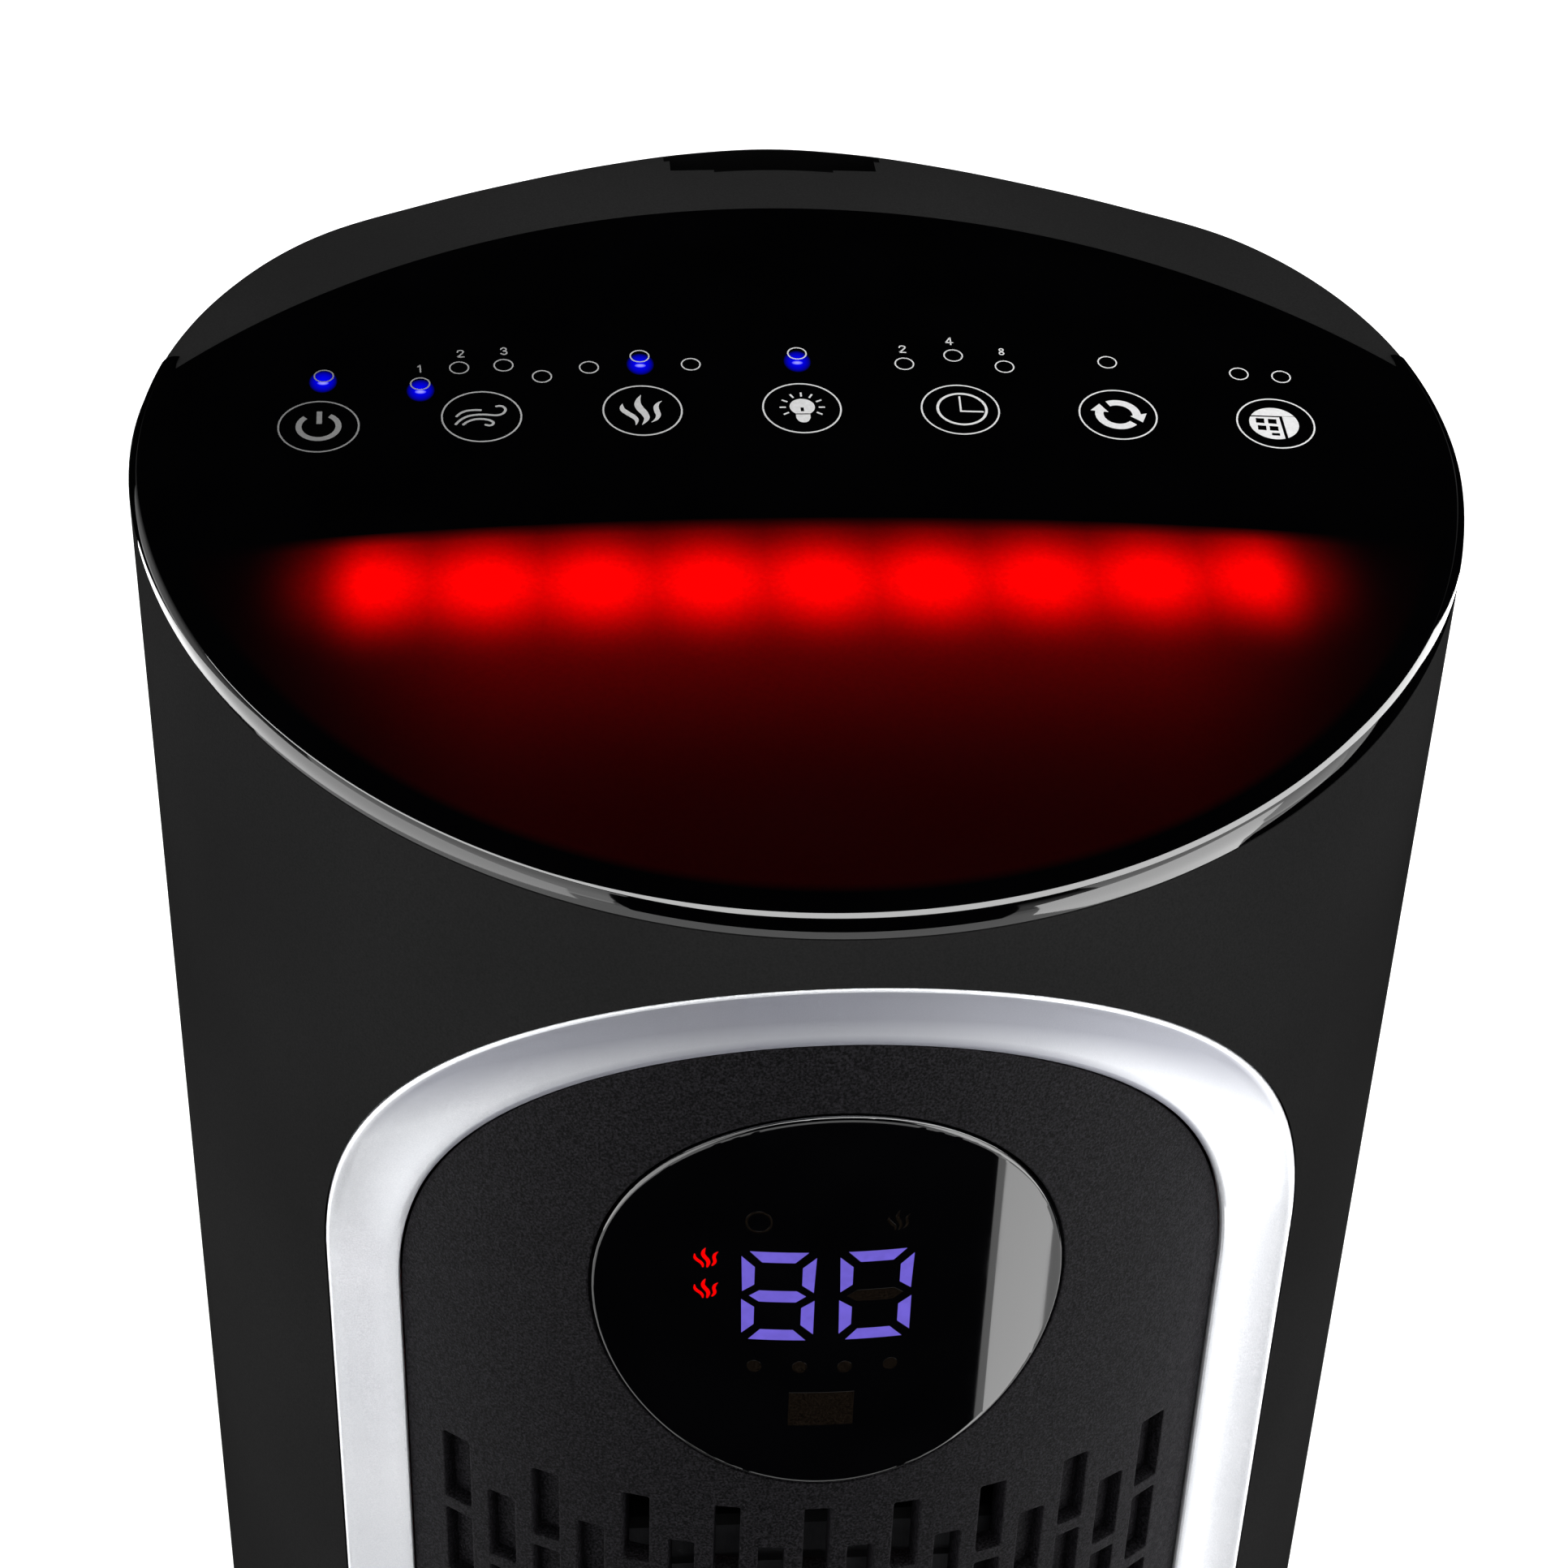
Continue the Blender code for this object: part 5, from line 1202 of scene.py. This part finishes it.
def heat_mark(scale=1.0):
    left = [(-3.64, 2.1, 0.06), (-3.8, 1.2, 0.7), (-3.66, 0.3, 1.05), (-2.85, -0.75, 1.1)]
    left += [(-1.85, -1.8, 1.05), (-1.3, -2.9, 0.75), (-1.55, -4.3, 0.1)]
    middle = [(0.0, 4.6, 0.06), (-0.55, 3.3, 0.75), (-0.78, 1.9, 1.3), (-0.45, 0.6, 1.45)]
    middle += [(0.3, -0.9, 1.35), (0.6, -2.5, 1.0), (-0.35, -4.25, 0.1)]
    right = [(3.8, 2.65, 0.06), (3.05, 1.95, 0.55), (2.6, 0.9, 0.95), (2.68, -0.35, 1.05)]
    right += [(2.85, -1.5, 0.95), (2.4, -2.7, 0.6), (1.45, -3.55, 0.1)]
    lines = [[[n * scale for n in point] for point in line] for line in (left, middle, right)]
    return plain(*[stroke(line) for line in lines])


def bulb_mark():
    middle = (0.07, 0.36)
    glass = arc(2.39, -56, 236, middle, 40)
    window = [(-0.28, -0.98), (0.34, -0.98), (0.34, 0.18), (-0.28, 0.18)]
    neck = [(-1.3, -1.92), (1.43, -1.92), (1.4, -3.0)]
    neck += arc(1.2, -20, -160, (0.07, -3.08), 12) + [(-1.27, -3.0)]
    rays = []
    for angle in (90, 61, 119, 29, 151, -2, 182, -32, 212):
        near, far = (polar(reach, radians(angle), middle) for reach in (3.1, 4.3))
        rays.append(bar(near, far, 0.36))
    return [(glass, [window])] + plain(neck, *rays)


def clock_mark():
    hands = [(-0.1, -0.72), (4.4, -0.76), (4.4, -0.36), (0.27, -0.32), (0.25, 3.96), (-0.1, 3.96)]
    return [ring(4.63, 0.5, (0.34, 0.14))] + plain(hands)


def turn_mark():
    upper = arc(4.37, 119, 4.6) + [(5.5, 0.71), (4.57, -2.04), (2.32, -0.29)] + arc(2.77, -3, 119)
    lower = arc(4.37, -40, -191.5) + [(-5.18, 0.96), (-3.39, 3.04), (-1.79, 0.64)]
    return plain(upper, lower + arc(2.77, -195, -40))


def clipped(loop, point, way):
    """The part of a loop that lies to the left of a line through point."""
    sides = [(x - point[0]) * -way[1] + (y - point[1]) * way[0] for x, y in loop]
    kept = []
    for (here, there), (a, b) in zip(around(loop), around(sides)):
        if a >= 0:
            kept.append(here)
        if (a >= 0) != (b >= 0):
            kept.append(tuple(h + (t - h) * a / (a - b) for h, t in zip(here, there)))
    return kept


def filter_mark():
    disc = circle(4.72, (-0.32, -0.07), 72)
    panel = clipped(clipped(disc, (0.75, 1.9), (-5.0, -0.28)), (0.78, 1.9), (-0.75, 6.6))
    upper = clipped(disc, (1.0, 2.3), (5.0, 0.26))
    side = clipped(clipped(disc, (1.35, 2.22), (0.75, -6.6)), (1.0, 2.18), (-5.0, -0.26))
    cells = (
        (-3.75, -2.14, -0.18, 1.25), (-1.43, 0.2, -0.18, 1.25), (-3.5, -1.89, -2.29, -0.89),
        (-1.25, 0.4, -2.25, -0.89), (-0.96, 0.58, -3.71, -2.93),
    )
    cells = [[(x0, y0), (x1, y0), (x1, y1), (x0, y1)] for x0, x1, y0, y1 in cells]
    return [(panel, cells)] + plain(upper, side)


number_lines = {
    "1": [[(-0.3, 0.62), (0.08, 0.98), (0.1, 0.9), (0.1, 0.2), (0.1, -1.05)]],
    "2": [
        [(-0.56, 0.5), (-0.4, 0.9), (0.0, 1.03), (0.48, 0.84), (0.52, 0.4), (0.1, -0.2)]
        + [(-0.56, -0.95), (-0.5, -1.0), (0.62, -1.0)]
    ],
    "3": [
        [(-0.54, 0.6), (-0.1, 1.03), (0.45, 0.8), (0.4, 0.25), (-0.08, 0.08), (0.5, -0.2)]
        + [(0.5, -0.75), (0.0, -1.03), (-0.56, -0.66)]
    ],
    "4": [
        [(0.2, -0.6), (0.2, -1.05)],
        [(0.2, -0.24), (0.2, 1.0), (0.1, 1.0), (-0.66, -0.3), (-0.62, -0.42), (0.62, -0.42)],
    ],
}


def number_mark(number):
    if number == "8":
        return [ring(0.38, figure_line, (0, 0.54)), ring(0.42, figure_line, (0, -0.56))]
    return strokes(number_lines[number], figure_line)


def film(shapes, centre=(0.0, 0.0), turn=0.0):
    """Thin films, from outlines and holes in millimetres, as x, depth and z."""

    def placed(x, y):
        across = centre[0] + x * cos(turn) + y * sin(turn)
        up = centre[1] - x * sin(turn) + y * cos(turn)
        return across * mark_unit, up * mark_unit

    parts = []
    for outline, holes in shapes:
        loops = [[placed(x, y) for x, y in loop] for loop in [outline] + holes]
        parts += [filled(loops[0], loops[1:], depth) for depth in (0.0, ink_height)]
        parts += [wall([(loop, 0.0), (loop, ink_height)]) for loop in loops]
    return welded(*parts)


key_marks = {
    "power": power_mark, "fan_speed": wind_mark, "heat": heat_mark, "lamp": bulb_mark,
    "timer": clock_mark, "turn": turn_mark, "filter": filter_mark,
}


def make_lid_marks():
    """The symbols of the touch keys, the small circles above them, and their numbers."""
    place = Matrix.Translation((0, mark_origin_y, lid_plane(mark_origin_y)))
    place = place @ Matrix.Rotation(lid_tilt - pi / 2, 4, "X") @ Matrix.Translation((0, -ink_height, 0))

    def printed_piece(name, shape):
        bmesh.ops.transform(shape, matrix=place, verts=shape.verts)
        piece(name, shape, "gloss_black", "tower", finish="white_ink")

    for i, (name, mark) in enumerate(key_marks.items()):
        turn = (i - len(key_marks) // 2) * ring_row_step
        centre = (ring_row_radius * sin(turn), ring_row_centre + ring_row_radius * cos(turn))
        printed_piece("key_" + name, film([ring(ring_radius, ring_line)] + mark(), centre, turn))
    parts = [film([ring(dot_radius, dot_line, spot)]) for spot in dot_places]
    for number, across, along in number_places:
        parts.append(film(number_mark(number), (across, along), atan2(across, along - ring_row_centre)))
    printed_piece("indicator_marks", merged(*parts))


figure_segments = (
    [(-5.15, 10.05), (5.15, 10.05), (2.85, 7.7), (-2.95, 7.7)],
    [(-6.58, 8.85), (-4.2, 6.55), (-4.2, 2.6), (-6.3, 0.95)],
    [(6.58, 8.85), (4.2, 6.55), (4.2, 2.6), (6.3, 0.95)],
    [(-6.42, -0.9), (-4.1, -2.55), (-4.1, -6.5), (-6.22, -8.65)],
    [(6.5, -0.9), (4.2, -2.55), (4.2, -6.5), (6.5, -8.65)],
    [(-4.98, -10.05), (5.18, -10.05), (2.9, -7.65), (-2.95, -7.65)],
)
middle_segment = [(-5.05, 0.0), (-3.3, 1.3), (3.3, 1.3), (4.95, 0.1), (3.2, -1.25), (-3.3, -1.25)]
flame_lines = (
    [(-1.94, 0.70, 0.2), (-1.86, -0.05, 0.56), (-1.44, -0.55, 0.62), (-0.84, -0.98, 0.62)]
    + [(-0.5, -1.5, 0.5), (-0.45, -1.95, 0.3)],
    [(-0.04, 2.3, 0.1), (-0.36, 1.55, 0.56), (-0.44, 0.86, 0.74), (-0.08, 0.22, 0.8)]
    + [(0.36, -0.34, 0.76), (0.52, -0.98, 0.68), (0.32, -1.85, 0.36)],
    [(2.16, 1.7, 0.1), (1.68, 1.1, 0.48), (1.48, 0.46, 0.6), (1.62, -0.18, 0.64)]
    + [(1.62, -0.74, 0.56), (1.2, -1.45, 0.28)],
)


def make_lens_marks():
    """What the display shows: two figures and two flames, lit, and the unlit marks beside them."""

    def shown(name, shapes):
        parts = [film(shape, (x, lens_height / mark_unit + z)) for shape, (x, z) in shapes]
        shape = wrapped(merged(*parts), lens_face_radius + ink_height, fine_wrap_step)
        piece(name, shape, "display_glass", "tower", finish=name)

    eight, nought = ((x, figure_height) for x in figure_places)
    segments, middle = plain(*figure_segments), plain(middle_segment)
    shown("lit_figures", [(segments + middle, eight), (segments, nought)])
    flames = plain(*[stroke(line) for line in flame_lines])
    shown("lit_flames", [(flames, spot) for spot in flame_places])
    dim = [(plain(circle(dim_dot_radius, steps=24)), spot) for spot in dim_dot_places]
    dim += [(middle, nought), ([ring(2.2, 0.4)], (-13.4, 19.45)), (heat_mark(0.5), (11.05, 19.2))]
    x, z = sensor_box
    dim.append((plain([(-x, -z), (x, -z), (x, z), (-x, z)]), sensor_place))
    shown("unlit_marks", dim)


# Base


def make_base():
    """The base's cover: a round dish turned over, with a fine step at its foot."""
    middle = (base_radius - base_round, base_height - base_round)
    outline = [(base_radius - inward, base_lip_height + up) for inward, up in base_foot_steps]
    outline += [polar(base_round, turn, middle) for turn in spread(0, pi / 2, 16)]
    outline += [
        (base_hole_radius + base_hole_edge, base_height),
        (base_hole_radius, base_height - base_hole_edge),
        (base_hole_radius, base_height - base_wall),
    ]
    outline += [polar(base_round - base_wall, turn, middle) for turn in spread(pi / 2, 0, 8)]
    cover = piece("base_shell", turned(outline), "base_plastic", "base", "base_cover")
    carve(cover, prism(circle(cord_hole_radius, (0, cord_hole_height), 40), 1, cord_hole_reach))
    smooth(cover)


# Stage, light and camera

world_level = 0.55
overhead_level = 0.004
overhead_grey = 0.8
dusk_low = 0.15
dusk_high = 0.4
floor_size = 6.0
card_height = 0.001
card_centre_y = -0.11
card_distance = 1.5
photo_size = 1932
focal_pixels = 3456.283
sensor_width = 36.0
camera_near = 0.01
camera_place = (-0.04844, -0.48895, 0.9301)
camera_pitch = radians(-30.968)
camera_yaw = radians(5.588)
camera_roll = radians(2.082)


def make_camera():
    camera = bpy.data.cameras.new("camera")
    camera.sensor_width = sensor_width
    camera.lens = focal_pixels / photo_size * sensor_width
    camera.clip_start = camera_near
    level = cos(camera_pitch)
    forward = Vector((sin(camera_yaw) * level, cos(camera_yaw) * level, sin(camera_pitch)))
    right = Vector((cos(camera_yaw), -sin(camera_yaw), 0))
    up = right.cross(forward)
    across = right * cos(camera_roll) + up * sin(camera_roll)
    along = up * cos(camera_roll) - right * sin(camera_roll)
    turn = Matrix((across, along, -forward)).transposed().to_4x4()
    obj = new_object("camera", camera)
    obj.matrix_world = Matrix.Translation(camera_place) @ turn
    bpy.context.scene.camera = obj


def make_world():
    """White for the camera, plain soft light, and in gloss white that darkens overhead."""
    world = bpy.data.worlds.new("studio")
    bpy.context.scene.world = world
    nodes = Nodes(world)
    nodes.tree.nodes.clear()

    def light(strength, level=1.0):
        return nodes.node("Background", {"Color": grey(level), "Strength": strength})

    height = nodes.axes("Generated")[2]
    overhead = light(nodes.ramp(height, 1.0, overhead_level, dusk_low, dusk_high), overhead_grey)
    mirrors = nodes.rays("Glossy", "Transmission")
    mixed = nodes.node("MixShader", {0: mirrors, 1: light(world_level), 2: overhead})
    mixed = nodes.node("MixShader", {0: nodes.rays("Camera"), 1: mixed, 2: light(1.0)})
    nodes.fill(nodes.tree.nodes.new("ShaderNodeOutputWorld").inputs[0], mixed)


def make_floor():
    """A pale floor that keeps the shadow near the object and turns to white further off."""
    shape = bmesh.new()
    bmesh.ops.create_grid(shape, x_segments=1, y_segments=1, size=floor_size)
    finish = Finish("floor", grey(0.82), 0.9, shine=0.1)
    seen = finish.rays("Camera", "Glossy", "Transmission")
    x, y, _ = finish.axes()
    finish.set("Emission Color", grey(1.0))
    finish.set("Emission Strength", seen * finish.ramp(finish.distance(x, y), 0.28, 1.0, 0.2, 1.1))
    obj = new_object("floor", new_mesh("floor", shape))
    obj.data.materials.append(finishes["floor"])


def make_lamp(name, place, target, size, power):
    lamp = bpy.data.lights.new(name, "AREA")
    lamp.shape = "RECTANGLE"
    lamp.size, lamp.size_y = size
    lamp.energy = power
    obj = new_object(name, lamp)
    obj.location = place
    obj.rotation_euler = (Vector(target) - Vector(place)).to_track_quat("-Z", "Y").to_euler()
    obj.visible_camera = False
    return obj


def make_lights():
    make_lamp("left_box", (-1.71, -1.38, 1.0), (0, 0, 0.45), (1.9, 1.8), 24)
    make_lamp("right_box", (1.99, -0.93, 1.0), (0, 0, 0.45), (2.0, 1.8), 28)
    top = make_lamp("top_box", (0, -0.05, 2.2), (0, 0, 0.6), (1.6, 0.35), 8)
    top.visible_glossy = False


def make_card(name, rows, strength):
    """A studio card, a strip between two edges, that only gloss shows."""
    shape = bmesh.new()
    edges = [[shape.verts.new(point) for point in row] for row in rows]
    for a, b in zip(edges, edges[1:]):
        shape.faces.new((a[0], a[1], b[1], b[0]))
    finish = Finish(name, grey(0.002), 1.0, shine=0.0)
    finish.set("Emission Color", grey(1.0))
    finish.set("Emission Strength", strength)
    obj = new_object(name, new_mesh(name, shape))
    obj.data.materials.append(finishes[name])
    obj.visible_camera = obj.visible_diffuse = obj.visible_shadow = obj.visible_transmission = False


def sector(near, far, first, last, z=card_height):
    """Edges of a flat ring's part on the floor, round the display's front."""
    rows = []
    for angle in spread(radians(first), radians(last), 24):
        rows.append([(r * sin(angle), card_centre_y - r * cos(angle), z) for r in (near, far)])
    return rows


def rim_reflection(angle, lean):
    """What the camera sees mirrored in the lid's round edge, where the edge leans back by lean."""
    normal = Vector((*front_point(angle, cos(lean)), sin(lean)))
    x, y = front_point(angle, rim_radius(angle) - edge_round)
    place = Vector((x, y, lid_plane(y) - edge_round)) + normal * edge_round
    seen_from = (Vector(camera_place) - place).normalized()
    return place + (2 * seen_from.dot(normal) * normal - seen_from) * card_distance


def mirrored_in_rim(*stops):
    """Edges of a card seen in the lid's edge: stops of an angle and two leans there, in degrees."""
    rows = []
    for stop, following in zip(stops, stops[1:]):
        for share in spread(0, 1, 8):
            angle, low, high = (radians(a + (b - a) * share) for a, b in zip(stop, following))
            rows.append([rim_reflection(angle, low), rim_reflection(angle, high)])
    return rows


def make_cards():
    """Dark cards round the tower for the display and the lid's edge, and bright strips."""
    low = card_height
    make_card("near_card", [[(-0.24, y, low), (0.24, y, low)] for y in (-0.137, -0.50)], 0.0)
    make_card("display_card", sector(0.50, 0.90, -54, 41), 0.0)
    make_card("front_card", [[(-0.85, -1.6, z), (0.85, -1.6, z)] for z in (0.01, 1.5)], 0.0)
    make_card("rear_floor_card", [[(-3, y, low), (3, y, low)] for y in (0.3, 2.4)], 0.0)
    make_card("rear_card", [[(-3, 2.4, z), (3, 2.4, z)] for z in (low, 1.9)], 0.0)
    make_card("right_floor_card", [[(x, -0.35, low), (x, 0.3, low)] for x in (0.9, 3.0)], 0.0)
    make_card("right_card", [[(3.0, y, low), (3.0, y, 1.9)] for y in (-0.35, 2.4)], 0.0)
    make_card("display_light", sector(0.42, 0.90, 43, 55, card_height * 2), 5.5)
    rim = ((-50, 37, 38), (-19, 34.5, 38), (-8, 32, 41), (35, 38, 49))
    rim += ((50, 29, 42), (60, 15, 24), (68, 3, 8))
    make_card("rim_light", mirrored_in_rim(*rim), 12.0)
    right = ((12, -6, 20), (15, -12, 24), (27, -12, 32), (31, 24, 32))
    make_card("right_light", mirrored_in_rim(*right), 8.0)
    left = ((-74, -4, 4), (-62, -4, 14), (-45, -4, 30), (-30, -4, 26), (-20, -4, 18))
    make_card("left_light", mirrored_in_rim(*left), 5.2)


make_finishes()
dress_nodes()
shells = (make_front_shell, make_rear_shell, make_door, make_latch)
front = (make_bezel, make_panel, make_lens, make_lens_marks)
stage = (make_camera, make_world, make_floor, make_lights, make_cards)
for make in (*shells, *front, make_lid, make_lid_marks, make_deck, make_base, *stage):
    make()
bpy.context.scene.view_settings.view_transform = "Standard"
